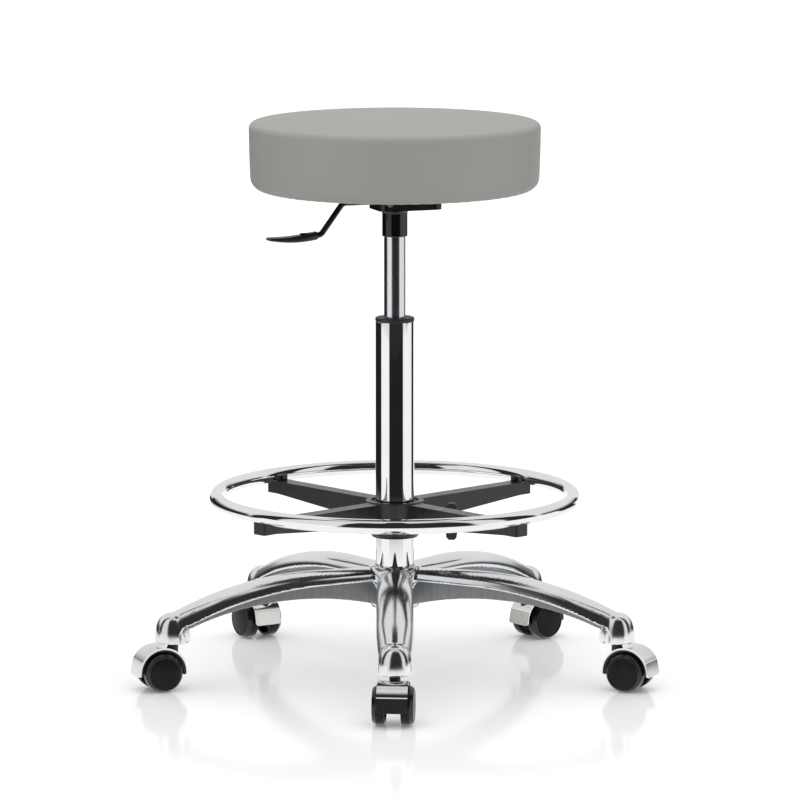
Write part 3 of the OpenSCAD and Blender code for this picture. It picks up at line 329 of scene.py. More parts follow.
def floorPaint(v):
    mat, tree, shader = newMaterial("whiteFloor")
    out = tree.nodes["Material Output"]
    tree.nodes.remove(shader)
    ray = tree.nodes.new("ShaderNodeLightPath")
    spot = tree.nodes.new("ShaderNodeTexCoord")
    split = tree.nodes.new("ShaderNodeSeparateXYZ")
    tree.links.new(spot.outputs["Object"], split.inputs[0])
    x, y = split.outputs[0], split.outputs[1]
    # seen by the camera: white paint with the object's shadow, painted brighter than the paint that other
    # rays meet, with a painted glow that grows away from the object, and a little glossy
    wear = noise(tree, v["wearScale"], 2)
    coats = []
    # the second coat, seen only by the camera, is painted brighter than the first, which the other rays meet
    for colour in (v["floorColour"], v["shownColour"]):
        coat = tree.nodes.new("ShaderNodeBsdfDiffuse")
        tree.links.new(remap(tree, wear, colour - v["wear"], colour + v["wear"]), coat.inputs["Color"])
        coats.append(coat)
    bounceCoat, shownCoat = coats
    squares = [calc(tree, "MULTIPLY", side, side) for side in (x, y)]
    reach = calc(tree, "SQRT", calc(tree, "ADD", *squares))
    # painted glow on the floor, weak near the object and stronger further out
    floorGlow = tree.nodes.new("ShaderNodeEmission")
    glowStrength = remap(tree, reach, v["nearGlow"], v["farGlow"], v["glowStart"], v["glowEnd"], "SMOOTHSTEP")
    tree.links.new(glowStrength, floorGlow.inputs["Strength"])
    both = tree.nodes.new("ShaderNodeAddShader")
    gloss = tree.nodes.new("ShaderNodeBsdfGlossy")
    gloss.inputs["Roughness"].default_value = v["floorHaze"]
    shown = tree.nodes.new("ShaderNodeMixShader")
    shown.inputs[0].default_value = v["floorGloss"]
    tree.links.new(shownCoat.outputs[0], both.inputs[0])
    tree.links.new(floorGlow.outputs[0], both.inputs[1])
    tree.links.new(both.outputs[0], shown.inputs[1])
    tree.links.new(gloss.outputs[0], shown.inputs[2])
    # seen in polished metal: white near the object, with dark bands further out
    far = step(tree, reach, v["whiteReach"], v["darkReach"])
    bearing = bearingOf(tree, x, y)
    bands = [band(tree, bearing, *edges, v["soft"]) for edges in v["floorBands"]]
    dark = calc(tree, "MULTIPLY", far, darkest(tree, bands))
    mirrored = tree.nodes.new("ShaderNodeEmission")
    shade = inverse(tree, calc(tree, "MULTIPLY", dark, v["floorDark"]))
    tree.links.new(shade, mirrored.inputs["Strength"])
    toGlossy = tree.nodes.new("ShaderNodeMixShader")
    tree.links.new(ray.outputs["Is Glossy Ray"], toGlossy.inputs[0])
    tree.links.new(bounceCoat.outputs[0], toGlossy.inputs[1])
    tree.links.new(mirrored.outputs[0], toGlossy.inputs[2])
    toCamera = tree.nodes.new("ShaderNodeMixShader")
    tree.links.new(ray.outputs["Is Camera Ray"], toCamera.inputs[0])
    tree.links.new(toGlossy.outputs[0], toCamera.inputs[1])
    tree.links.new(shown.outputs[0], toCamera.inputs[2])
    tree.links.new(toCamera.outputs[0], out.inputs["Surface"])
    return mat


def buildStudio(v):
    buildWorld(v)
    lamp = bpy.data.lights.new("overheadSoftbox", "AREA")
    lamp.shape, lamp.size, lamp.energy = "SQUARE", v["lampSize"], v["lampPower"]
    box = bpy.data.objects.new("overheadSoftbox", lamp)
    bpy.context.collection.objects.link(box)
    box.location = (0, -v["lampForward"], v["lampHeight"])
    box.visible_glossy = False
    half = v["floorHalf"]
    corners = [(-half, -half, 0), (half, -half, 0), (half, half, 0), (-half, half, 0)]
    mesh = bpy.data.meshes.new("studioFloor")
    mesh.from_pydata(corners, [], [(0, 1, 2, 3)])
    mesh.materials.append(floorPaint(v))
    floor = bpy.data.objects.new("studioFloor", mesh)
    bpy.context.collection.objects.link(floor)
    bpy.context.scene.view_settings.view_transform = "Standard"


buildStudio(studio)
print("studio built")


# mesh helpers, all sizes in mm

def foot(name):
    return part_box(name)[0].z / mm


def top(name):
    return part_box(name)[1].z / mm


def addPiece(name, points, faces, *materials):
    mesh = bpy.data.meshes.new(name)
    mesh.from_pydata((np.array(points, float) * mm).tolist(), [], faces)
    for m in materials:
        mesh.materials.append(m)
    obj = bpy.data.objects.new(name, mesh)
    bpy.context.collection.objects.link(obj)
    mesh.shade_smooth()
    return obj


sameSpot = 1e-6  # points closer than this are one, in metres


def cleanUp(obj, angle=None):
    bm = bmesh.new()
    bm.from_mesh(obj.data)
    bmesh.ops.remove_doubles(bm, verts=bm.verts, dist=sameSpot)
    bmesh.ops.dissolve_degenerate(bm, edges=bm.edges, dist=sameSpot)
    bmesh.ops.recalc_face_normals(bm, faces=bm.faces)
    bm.to_mesh(obj.data)
    bm.free()
    if angle:
        obj.data.set_sharp_from_angle(angle=math.radians(angle))


def turnedPiece(name, outline, *materials, steps=128, angle=40, zones=None):
    count = len(outline)
    points, faces, kinds = [], [], []
    for i in range(steps):
        a = 2 * math.pi * i / steps
        points += [(r * math.cos(a), r * math.sin(a), z) for r, z in outline]
    for i in range(steps):
        j = (i + 1) % steps
        for k in range(count):
            n = (k + 1) % count
            faces.append((i * count + k, j * count + k, j * count + n, i * count + n))
            kinds.append(zones[k] if zones else 0)
    obj = addPiece(name, points, faces, *materials)
    obj.data.polygons.foreach_set("material_index", kinds)
    cleanUp(obj, angle)
    return obj


def arc(x, z, r, a, b, steps=6):
    return [(x + r * math.cos(math.radians(a + (b - a) * i / steps)),
             z + r * math.sin(math.radians(a + (b - a) * i / steps))) for i in range(steps + 1)]


def moveMesh(obj, x=0.0, y=0.0, z=0.0, turn=0.0):
    shift = Matrix.Translation((x * mm, y * mm, z * mm))
    obj.data.transform(shift @ Matrix.Rotation(math.radians(turn), 4, "Z"))


def standFor(obj, slotName, *names):
    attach(obj, bodyOf[names[0]])
    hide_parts(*names)


edgeRule = {"weld": 0.002, "segments": 3, "angle": 32}


def softenEdges(name, width, v=edgeRule):
    obj = nodes[name]
    obj.data.shade_smooth()
    join = obj.modifiers.new("join", "WELD")
    join.merge_threshold = v["weld"] * mm
    edge = obj.modifiers.new("edge", "BEVEL")
    edge.width, edge.segments, edge.limit_method = width * mm, v["segments"], "ANGLE"
    edge.angle_limit = math.radians(v["angle"])
    edge.use_clamp_overlap = True
    obj.modifiers.new("even", "WEIGHTED_NORMAL")


def paint(name, material):
    obj = nodes[name]
    if not obj.material_slots:
        obj.data.materials.append(material)
    for s in obj.material_slots:
        s.material = material


# CAD nodes that stay, each with its finish

kept = {
    "zinc": ["caster_stems", "bearing_washer_lower", "bearing_cage", "bearing_washer_upper", "piston_rod",
             "rod_clip", "release_pin", "lever_pivot_pin", "seat_bolts", "t_nuts", "clamp_stud"],
    "moulding": ["guide_bush", "footring_liner", "clamp_knob"],
    "spider": ["footring_spider"],
    "rubber": ["rubber_bumper", "rod_seal"],
    "brass": ["piston", "rod_guide", "valve_block", "clamp_pad"],
    "coat": ["mechanism_pan", "mount_plate", "footring_screws"],
    "plywood": ["seat_board"],
    "lining": ["dust_cover"],
}
casters = range(1, 6)
for i in casters:
    kept["moulding"].append(f"caster_{i}_body")
    kept["zinc"].append(f"caster_{i}_axle")
for kind, names in kept.items():
    for n in names:
        paint(n, finish[kind])

edgeWidths = {
    "footring_spider": 1.2, "clamp_knob": 1.4, "guide_bush": 0.6, "mechanism_pan": 0.7, "mount_plate": 0.5,
    "footring_liner": 0.4, "seat_bolts": 0.5, "footring_screws": 0.5, "lever_pivot_pin": 0.4,
}
for i in casters:
    edgeWidths[f"caster_{i}_body"] = 0.5
for n, width in edgeWidths.items():
    softenEdges(n, width)
print("CAD nodes finished")


# column tube, gas cylinder and socket

column = {"radius": 25, "wall": 2, "drop": 0.7, "edge": 0.8, "hubFoot": 90.4, "step": 1}


def columnTube(v):
    low, mouth = foot("column_tube"), top("column_tube")
    hubTop = top("base_casting")
    r, inner, e = v["radius"], v["radius"] - v["wall"], v["edge"]
    wedge = r - v["drop"]
    outline = [(wedge - v["wall"], low), (wedge, low), (wedge, v["hubFoot"]), (r, hubTop)]
    outline += arc(r - e, mouth - e, e, 0, 90)
    outline += [(inner, mouth), (inner, hubTop), (inner - v["drop"], hubTop - v["step"])]
    standFor(turnedPiece("columnTube", outline, finish["chrome"], steps=160), "chrome", "column_tube")


columnTube(column)

cylinder = {"radius": 14, "wall": 1.6, "headDrop": 0.7, "headLength": 35, "headWall": 3, "pinHole": 3.2}


def gasCylinder(v):
    low, high = foot("gas_cylinder"), top("gas_cylinder")
    r, inner, hole = v["radius"], v["radius"] - v["wall"], v["pinHole"]
    outline = [(inner, low), (r, low), (r, high - v["headLength"]), (r - v["headDrop"], high), (hole, high)]
    outline += [(hole, high - v["headWall"]), (inner, high - v["headWall"])]
    standFor(turnedPiece("gasCylinder", outline, finish["liftSteel"], steps=128), "chrome", "gas_cylinder")


gasCylinder(cylinder)

socket = {
    "radius": 16.4, "bore": 14.05, "chamfer": 1.4, "flare": 6, "collar": 15.2, "taper": 0.7, "taperStart": 2,
    "chamferTurn": -60,
}


def liftSocket(v):
    low, high = foot("lift_socket"), top("lift_socket")
    panFoot, r = foot("mechanism_pan"), v["radius"]
    outline = [(v["bore"], low), (r - v["chamfer"], low)]
    outline += arc(r - v["chamfer"], low + v["chamfer"], v["chamfer"], v["chamferTurn"], 0, 4)
    outline += arc(r + v["flare"], panFoot - v["flare"], v["flare"], 180, 90, 8)
    outline += [(v["collar"], panFoot), (v["collar"], high), (v["bore"] - v["taper"], high)]
    outline += [(v["bore"], low + v["taperStart"])]
    standFor(turnedPiece("liftSocket", outline, finish["gloss"], steps=96), "black_steel", "lift_socket")


liftSocket(socket)
print("column, cylinder and socket made")


# footring

ringTube = {"radius": 230.5, "tube": 9.5, "around": 320, "across": 40}


def footringTube(v):
    n, m = v["around"], v["across"]
    middle = (foot("footring_tube") + top("footring_tube")) / 2
    points, faces = [], []
    for i in range(n):
        a = 2 * math.pi * i / n
        for k in range(m):
            b = 2 * math.pi * k / m
            r = v["radius"] + v["tube"] * math.cos(b)
            points.append((r * math.cos(a), r * math.sin(a), middle + v["tube"] * math.sin(b)))
            here, ahead, up = i * m, (i + 1) % n * m, (k + 1) % m
            faces.append((here + k, ahead + k, ahead + up, here + up))
    ring = addPiece("footringTube", points, faces, finish["chrome"])
    ring.visible_glossy = False  # keeps the column's bands clean
    cleanUp(ring)
    standFor(ring, "chrome", "footring_tube")


footringTube(ringTube)
print("footring made")


# base casting: a distance field of legs, hub and toes, meshed on a fine lattice
# a reach is a distance from the axis, half means half a width, and up is a height above the leg's lower edge

casting = {
    "legs": 5, "front": -90, "toeCircle": 300, "toeRadius": 23, "toeHeight": 38, "legTop": 143,
    "flatReach": 103, "fall": 44.4, "rootWidth": 39, "middleWidth": 48, "toeWidth": 45.2, "startReach": 21.5,
    "middleReach": 164.25, "rootSkirt": 14.5, "toeSkirt": 22, "archStart": 282, "archRadius": 18,
    "swellStart": 234.5, "power": 2.6, "ridge": 1.8, "blunt": 0.16, "inset": 0.4, "skin": 3.5, "webs": 4.2,
    "webPlace": 12.4, "webStart": 25, "webEnd": 288.5, "webTop": 109, "webPeak": 129, "webArc": 400,
    "webSink": 1, "ribs": (90, 141, 192, 240), "ribRecess": 4, "hubRadius": 31.5, "hubFoot": 90.4,
    "hubRound": 2.5, "shoulder": 37.5, "shoulderLow": 114, "shoulderFull": 128.5, "shoulderHigh": 135.75,
    "shoulderBlend": 2.5, "boreFoot": 24.35, "boreTop": 25.05, "boreEdge": 0.8, "stemBore": 5.6,
    "stemDepth": 34.5, "valley": 7, "hubBlend": 5, "toeBlend": 1.6, "toeEdge": 1.2, "lip": 1.6, "fillet": 1.6,
    "collarSink": 1, "webLimit": 1.1, "lattice": 2.0, "passes": 3, "polished": 0.5, "nearHalf": 32,
    "nearAbove": 8, "nearBelow": 52, "nearHub": 60, "outside": 5.0,
}


def blendMin(a, b, k):
    h = np.clip(0.5 + 0.5 * (b - a) / k, 0, 1)
    return b + (a - b) * h - k * h * (1 - h)


def blendMax(a, b, k):
    return -blendMin(-a, -b, k)


def archDistance(across, up, half, height, power, crown=None, blunt=0.0):
    crown = crown or power
    u = np.maximum(np.hypot(across / half, blunt), 1e-4)  # the limits keep clear of a division by zero
    w = np.maximum(up, 0) / height
    total = np.maximum(u ** crown - blunt ** crown + w ** power, 0.02)
    slope = np.hypot(crown * u ** (crown - 1) / half, power * w ** (power - 1) / height)
    return (total - 1) / np.maximum(slope, 1e-2)


def legSizes(r, v):
    run = v["toeCircle"] - v["flatReach"]
    arcRadius = (run ** 2 + v["fall"] ** 2) / (2 * v["fall"])
    out = np.maximum(r - v["flatReach"], 0)
    back = v["legTop"] - arcRadius + np.sqrt(np.maximum(arcRadius ** 2 - out ** 2, 0))
    near = (v["middleReach"] - r) / (v["middleReach"] - v["startReach"])
    far = (r - v["middleReach"]) / (v["toeCircle"] - v["middleReach"])
    toRoot = (v["middleWidth"] - v["rootWidth"]) * near ** 2
    toToe = (v["middleWidth"] - v["toeWidth"]) * far ** 2
    half = (v["middleWidth"] - np.where(r < v["middleReach"], toRoot, toToe)) / 2
    along = (r - v["startReach"]) / (v["archStart"] - v["startReach"])
    skirt = v["rootSkirt"] + (v["toeSkirt"] - v["rootSkirt"]) * along
    toeFoot = foot("base_casting")
    swell = np.clip((r - v["swellStart"]) / (v["toeCircle"] - v["swellStart"]), 0, 1)
    height = skirt + (back - toeFoot - skirt) * swell ** 2
    archRun = v["archStart"] - v["flatReach"]
    archTop = v["legTop"] - arcRadius + math.sqrt(arcRadius ** 2 - archRun ** 2) - v["toeSkirt"]
    low = toeFoot + v["inset"]
    turn = np.clip((r - v["archStart"]) / v["archRadius"], 0, 1)
    edge = np.where(r < v["archStart"], back - skirt, low + (archTop - low) * np.sqrt(1 - turn ** 2))
    return back, half, height, edge


def oneLeg(r, across, z, v):
    back, half, height, edge = legSizes(r, v)
    low = back - height
    arch = archDistance(across, z - low, half, height, v["power"], v["ridge"], v["blunt"])
    ends = np.maximum(v["startReach"] - r, r - v["toeCircle"])
    outer = np.maximum(blendMax(arch, edge - z, v["lip"]), ends)
    inner, roof = half - v["skin"], height - v["skin"]
    channel = archDistance(across, z - low, inner, roof, v["power"], v["ridge"], v["blunt"])
    channel = np.maximum(channel, ends)
    return outer, channel, arch


def hubDistance(reach, z, v):
    out = reach - v["hubRadius"] + v["hubRound"]
    up = np.maximum(z - top("base_casting"), v["hubFoot"] - z) + v["hubRound"]
    plug = np.hypot(np.maximum(out, 0), np.maximum(up, 0)) + np.minimum(np.maximum(out, up), 0)
    plug -= v["hubRound"]
    narrow = v["hubRadius"] - v["collarSink"]
    wide = np.interp(z, [v["shoulderLow"], v["shoulderFull"], v["shoulderHigh"], v["legTop"]],
                     [narrow, v["shoulder"], v["shoulder"], narrow])
    collar = np.maximum(reach - wide, np.maximum(v["shoulderLow"] - z, z - v["legTop"]))
    return blendMin(plug, collar, v["shoulderBlend"])


def foldToLeg(x, y, v):
    reach = np.hypot(x, y)
    pitch = 2 * math.pi / v["legs"]
    bearing = np.arctan2(y, x) - math.radians(v["front"])
    return reach, bearing - np.round(bearing / pitch) * pitch, pitch


def castingField(points, v, envelopeOnly=False):  # below zero inside the metal
    x, y, z = points.T
    reach, fold, pitch = foldToLeg(x, y, v)
    hub = hubDistance(reach, z, v)
    along, across = reach * np.cos(fold), reach * np.sin(fold)
    second = fold - np.where(fold > 0, pitch, -pitch)
    outer, channel, arch = oneLeg(along, across, z, v)
    outer2, channel2, _ = oneLeg(reach * np.cos(second), reach * np.sin(second), z, v)
    stem = np.hypot(along - v["toeCircle"], across)
    toeFoot = foot("base_casting")
    toe = archDistance(stem, z - toeFoot, v["toeRadius"], v["toeHeight"], v["power"])
    toe = blendMax(toe, toeFoot - z, v["toeEdge"])
    envelope = blendMin(blendMin(outer, outer2, v["valley"]), hub, v["hubBlend"])
    envelope = blendMin(envelope, toe, v["toeBlend"])
    if envelopeOnly:
        return envelope
    hollow = np.maximum(np.minimum(channel, channel2), np.maximum(-hub, -toe))
    body = blendMax(envelope, -hollow, v["fillet"])
    past = np.clip(along, 0, v["webLimit"] * v["toeCircle"]) - v["webPeak"]
    sweep = v["webTop"] - v["webArc"] + np.sqrt(v["webArc"] ** 2 - past ** 2)
    inside = np.maximum(np.maximum(v["webStart"] - along, along - v["webEnd"]), arch + v["webSink"])
    flank = np.abs(np.abs(across) - v["webPlace"]) - v["webs"] / 2
    web = np.maximum(np.maximum(flank, sweep - z), inside)
    body = blendMin(body, web, v["fillet"])
    for r in v["ribs"]:
        rib = np.maximum(np.maximum(r - along, along - r - v["webs"]), np.abs(across) - v["webPlace"])
        rib = np.maximum(np.maximum(rib, sweep + v["ribRecess"] - z), inside)
        body = blendMin(body, rib, v["fillet"])
    rise = np.clip((z - v["hubFoot"]) / (top("base_casting") - v["hubFoot"]), 0, 1)
    bore = reach - v["boreFoot"] - (v["boreTop"] - v["boreFoot"]) * rise
    pocket = np.maximum(stem - v["stemBore"], z - toeFoot - v["stemDepth"])
    return blendMax(np.maximum(body, -pocket), -bore, v["boreEdge"])


def surfaceNet(value, origin, pitch):  # a point in each cell that the surface crosses, a quad per crossing
    cells = np.array(value.shape) - 1
    inside = value < 0
    total = int(np.prod(cells))
    count = np.zeros(total)
    sums = np.zeros((3, total))
    quads = []
    for axis in range(3):
        a = [slice(None)] * 3
        b = [slice(None)] * 3
        a[axis], b[axis] = slice(0, -1), slice(1, None)
        crossing = np.argwhere(inside[tuple(a)] != inside[tuple(b)])
        ahead = crossing + np.eye(3, dtype=int)[axis]
        here = value[tuple(crossing.T)]
        there = value[tuple(ahead.T)]
        spot = crossing.astype(float)
        spot[:, axis] += here / (here - there)
        u, w = [n for n in range(3) if n != axis]
        corners = []
        for du, dw in ((0, 0), (1, 0), (1, 1), (0, 1)):
            cell = crossing.copy()
            cell[:, u] -= du
            cell[:, w] -= dw
            corners.append(cell)
        good = np.all([(c >= 0).all(1) & (c < cells).all(1) for c in corners], axis=0)
        ids = [np.ravel_multi_index(c[good].T, cells) for c in corners]
        for flat in ids:
            count += np.bincount(flat, minlength=total)
            for n in range(3):
                sums[n] += np.bincount(flat, spot[good][:, n], total)
        quad = np.stack(ids, 1)
        outward = inside[tuple(crossing[good].T)] ^ (axis == 1)
        quads.append(np.where(outward[:, None], quad, quad[:, ::-1]))
    used = np.flatnonzero(count)
    number = np.full(total, -1)
    number[used] = np.arange(len(used))
    points = (sums[:, used] / count[used]).T * pitch + origin
    return points, number[np.concatenate(quads)]


def slopeOf(points, field, h=0.05):
    parts = []
    for n in range(3):
        shift = np.zeros(3)
        shift[n] = h
        parts.append((field(points + shift) - field(points - shift)) / (2 * h))
    return np.stack(parts, 1)


def nearLeg(grid, v):  # only these lattice points need the field, with a margin round the leg
    x, y, z = grid[..., 0], grid[..., 1], grid[..., 2]
    reach, fold, _ = foldToLeg(x, y, v)
    back = legSizes(reach * np.cos(fold), v)[0]
    beside = np.abs(reach * np.sin(fold)) < v["nearHalf"]
    level = (z < back + v["nearAbove"]) & (z > back - v["nearBelow"])
    return beside & level | (reach < v["nearHub"])


def baseCasting(v):
    pitch = v["lattice"]
    low, high = (np.array(c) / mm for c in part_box("base_casting"))
    axes = [np.arange(low[n] - 3 * pitch, high[n] + 3 * pitch, pitch) for n in range(3)]
    grid = np.stack(np.meshgrid(*axes, indexing="ij"), -1)
    near = nearLeg(grid, v)
    value = np.full(near.shape, v["outside"])
    value[near] = castingField(grid[near], v)
    points, quads = surfaceNet(value, [a[0] for a in axes], pitch)

    def field(p):
        return castingField(p, v)

    for _ in range(v["passes"]):  # draws each point onto the true surface
        slope = slopeOf(points, field)
        move = field(points)[:, None] * slope / np.maximum((slope ** 2).sum(1), 0.2)[:, None]
        length = np.linalg.norm(move, axis=1)[:, None]
        points -= move * np.minimum(1, 0.5 * pitch / np.maximum(length, 1e-9))  # half a cell at most
    slope = slopeOf(points, field)
    normals = slope / np.maximum(np.linalg.norm(slope, axis=1), 1e-9)[:, None]
    obj = addPiece("baseCasting", points, quads.tolist(), finish["casting"], finish["cast"])
    rough = np.abs(castingField(points[quads].mean(1), v, envelopeOnly=True)) > v["polished"]
    obj.data.polygons.foreach_set("material_index", rough.astype(np.int32))
    obj.data.normals_split_custom_set_from_vertices(normals.tolist())
    standFor(obj, "polished_aluminium", "base_casting")
    return len(quads)


print("base casting,", baseCasting(casting), "faces")


# caster wheels: glossy ring, stepped and domed satin disc

wheel = {
    "radius": 25, "treadIn": 10.2, "treadOut": 22.6, "faceOut": 27.4, "edge": 1.6, "ring": 23.25,
    "disc": 19.5, "bore": 3.1, "cupRadius": 21.6, "cupHub": 7.2, "cupDepth": 7, "bulge": 0.9,
    "trail": 18.6, "axle": 25, "ringEnd": 0.9, "ringParts": 10, "wellWidth": 0.4, "wellDepth": 0.9,
    "hubWall": 4, "treadTurn": 55, "trailTurns": (-95, -25, 38, 122, 201),
    "domeShares": (0.985, 0.93, 0.85, 0.75, 0.6, 0.45, 0.3, 0.15),
}


def wheelOutline(v):
    r, e, disc, out = v["radius"], v["edge"], v["disc"], v["faceOut"]
    low = v["treadOut"] + (out - v["treadOut"]) / 3
    middle = v["treadOut"] + (out - v["treadOut"]) * 2 / 3
    cup = v["treadIn"] + v["cupDepth"]
    inner = [(v["bore"], v["treadIn"]), (v["cupHub"], v["treadIn"]), (v["cupHub"], cup),
             (v["cupRadius"], cup), (v["cupRadius"], v["treadIn"])]
    shoulder = arc(r - e, v["treadOut"] - e, e, 0, v["treadTurn"], 5)
    tread = arc(r - e, v["treadIn"] + e, e, -90, 0, 5) + shoulder
    run = disc + v["ringEnd"] - v["ring"]
    rim = []
    for n in range(v["ringParts"] + 1):
        share = n / v["ringParts"]
        rise = (middle - low) * share + v["bulge"] * math.sin(math.pi * share)
        rim.append((v["ring"] + run * share, low + rise))
    well = [(disc + v["wellWidth"], middle - v["wellDepth"]), (disc, middle - v["wellDepth"])]
    dome = [(disc * s, middle + (out - middle) * (1 - s * s)) for s in v["domeShares"]]
    dome += [(0, out), (0, out - v["hubWall"]), (v["bore"], out - v["hubWall"])]
    outline = inner + tread + rim + well + dome
    glossStart = len(inner) + len(tread) - len(shoulder)
    glossEnd = len(inner) + len(tread) + len(rim) + 1
    zones = [1 if glossStart <= k < glossEnd else 0 for k in range(len(outline))]
    return outline, zones


def atCaster(obj, i, v):
    stem = math.radians(casting["front"] + 360 / casting["legs"] * (i - 1))
    x, y = casting["toeCircle"] * math.cos(stem), casting["toeCircle"] * math.sin(stem)
    moveMesh(obj, x, y, 0, v["trailTurns"][i - 1])


def casterWheels(v):
    outline, zones = wheelOutline(v)
    for i in casters:
        for side, word in ((1, "left"), (-1, "right")):
            name = f"caster{i}Wheel{word.capitalize()}"
            skins = finish["wheel"], finish["wheelRing"]
            piece = turnedPiece(name, outline, *skins, steps=96, angle=50, zones=zones)
            onAxle = Matrix.Translation((v["trail"] * mm, 0, v["axle"] * mm))
            piece.data.transform(onAxle @ Matrix.Rotation(math.radians(-90 * side), 4, "X"))
            atCaster(piece, i, v)
            standFor(piece, "wheel_nylon", f"caster_{i}_wheel_{word}")


casterWheels(wheel)
print("wheels made")


# caster hoods: a bent plate with flat lower parts, a groove over each and a hole for the neck

hood = {
    "radius": 32.3, "inner": 30.1, "width": 39, "groove": 27, "grooveHalf": 1.3, "grooveDepth": 0.5,
    "grooveLip": 0.013, "grooveEnd": 0.07, "lean": 12, "foot": 20.5, "corner": 4, "plateParts": 40,
    "plateSteps": (0, 1, 2, 3, 4, 5, 6, 7, 8, 12, 16, 20, 26, 32, 38), "archSteps": 28, "neckHole": 7.3,
    "holeFoot": 40, "holeTop": 80, "edge": 0.7, "edgeSegments": 3, "edgeAngle": 50, "sharpAngle": 12,
}


def hoodRows(v):
    r, crease, lean = v["radius"], math.radians(v["groove"]), math.radians(v["lean"])
    x, z = r * math.cos(crease), r * math.sin(crease)
    drop, full = z - (v["foot"] - wheel["axle"]), v["width"] / 2
    rows = []
    for n in v["plateSteps"]:
        up = drop * n / v["plateParts"]
        short = max(0, 1 - up / v["corner"])
        half = full - v["corner"] * (1 - math.sqrt(1 - short ** 2))
        rows.append((x + (drop - up) * math.tan(lean), z - drop + up, half))
    deep, past = r - v["grooveDepth"], crease + math.radians(v["grooveHalf"])
    rows.append((x + v["grooveLip"], z - v["grooveHalf"] / 2, full))
    rows.append((deep * math.cos(crease), deep * math.sin(crease), full))
    rows.append((r * math.cos(past), r * math.sin(past), full))
    turns = np.linspace(crease + v["grooveEnd"], math.pi / 2, v["archSteps"])
    rows += [(r * math.cos(a), r * math.sin(a), full) for a in turns]
    return rows + [(-x, z, half) for x, z, half in rows[-2::-1]]


def hoodShell(v):
    rows = hoodRows(v)
    points, faces = [], []
    for x, z, half in rows:
        scale = v["inner"] / math.hypot(x, z)
        for side in (1, -1):
            points.append((wheel["trail"] + x, side * half, wheel["axle"] + z))
        for side in (-1, 1):
            points.append((wheel["trail"] + x * scale, side * half, wheel["axle"] + z * scale))
    for n in range(0, 4 * len(rows) - 4, 4):
        for k in range(4):
            q = (k + 1) % 4
            faces.append((n + k, n + q, n + 4 + q, n + 4 + k))
    faces += [(3, 2, 1, 0), tuple(4 * len(rows) - 4 + k for k in range(4))]
    shell = addPiece("hoodShell", points, faces, finish["hood"])
    cleanUp(shell)
    hole, low, high = v["neckHole"], v["holeFoot"], v["holeTop"]
    drill = [(0, low), (hole, low), (hole, high), (0, high)]
    punch = turnedPiece("neckPunch", drill, finish["hood"], steps=64)
    cut = shell.modifiers.new("neckHole", "BOOLEAN")
    cut.object, cut.solver = punch, "EXACT"
    mesh = bpy.data.meshes.new_from_object(shell.evaluated_get(bpy.context.evaluated_depsgraph_get()))
    for spare in (shell, punch):
        bpy.data.objects.remove(spare)
    return mesh


def casterHoods(v):
    mesh = hoodShell(v)
    for i in casters:
        piece = bpy.data.objects.new(f"caster{i}Hood", mesh.copy())
        bpy.context.collection.objects.link(piece)
        atCaster(piece, i, wheel)
        cleanUp(piece, v["sharpAngle"])
        edge = piece.modifiers.new("edge", "BEVEL")
        edge.width, edge.segments, edge.limit_method = v["edge"] * mm, v["edgeSegments"], "ANGLE"
        edge.angle_limit = math.radians(v["edgeAngle"])
        piece.modifiers.new("even", "WEIGHTED_NORMAL").keep_sharp = True
        standFor(piece, "bright_metal", f"caster_{i}_hood")


casterHoods(hood)
print("hoods made")


# lever: bent rod and thumb paddle

lever = {
    "turn": 200, "rod": 3.75, "inner": -5, "pivot": 17, "eye": 6.5, "eyeWidth": 11, "eyeBore": 2.6,
    "eyeEdge": 0.4, "bendReach": 71, "gripReach": 101, "drop": 40, "bend": 9, "bendSteps": 10, "sides": 24,
    "paddleLength": 68, "width": 26, "rootWidth": 13.5, "thick": 10.5, "tip": 4, "fall": 5.5, "dip": 2.2,
    "belly": 3, "gap": 0.3, "power": 3, "rows": 48, "around": 32, "tipShare": 0.05, "rootShare": 0.03,
    "endThick": 0.25, "endWidth": 0.55,
}


def leverPath(v, z):
    slope = math.atan2(v["drop"], v["gripReach"] - v["bendReach"])
    tangent = v["bend"] * math.tan(slope / 2)
    turn, steps = math.degrees(slope), v["bendSteps"]
    first, last = v["bendReach"] - tangent, v["gripReach"] + tangent
    path = [(v["inner"], z), (first, z)]
    path += arc(first, z - v["bend"], v["bend"], 90, 90 - turn, steps)[1:]
    path += arc(last, z - v["drop"] + v["bend"], v["bend"], 270 - turn, 270, steps)
    path += [(last + v["paddleLength"] / 3, z - v["drop"])]  # a third of the paddle holds the rod
    return path, last + v["gap"]


def tubeFaces(rows, around):
    faces = []
    for n in range(around, rows * around, around):
        for k in range(around):
            q = (k + 1) % around
            faces.append((n - around + k, n - around + q, n + q, n + k))
    faces.append(tuple(range(around))[::-1])
    faces.append(tuple(range((rows - 1) * around, rows * around)))
    return faces


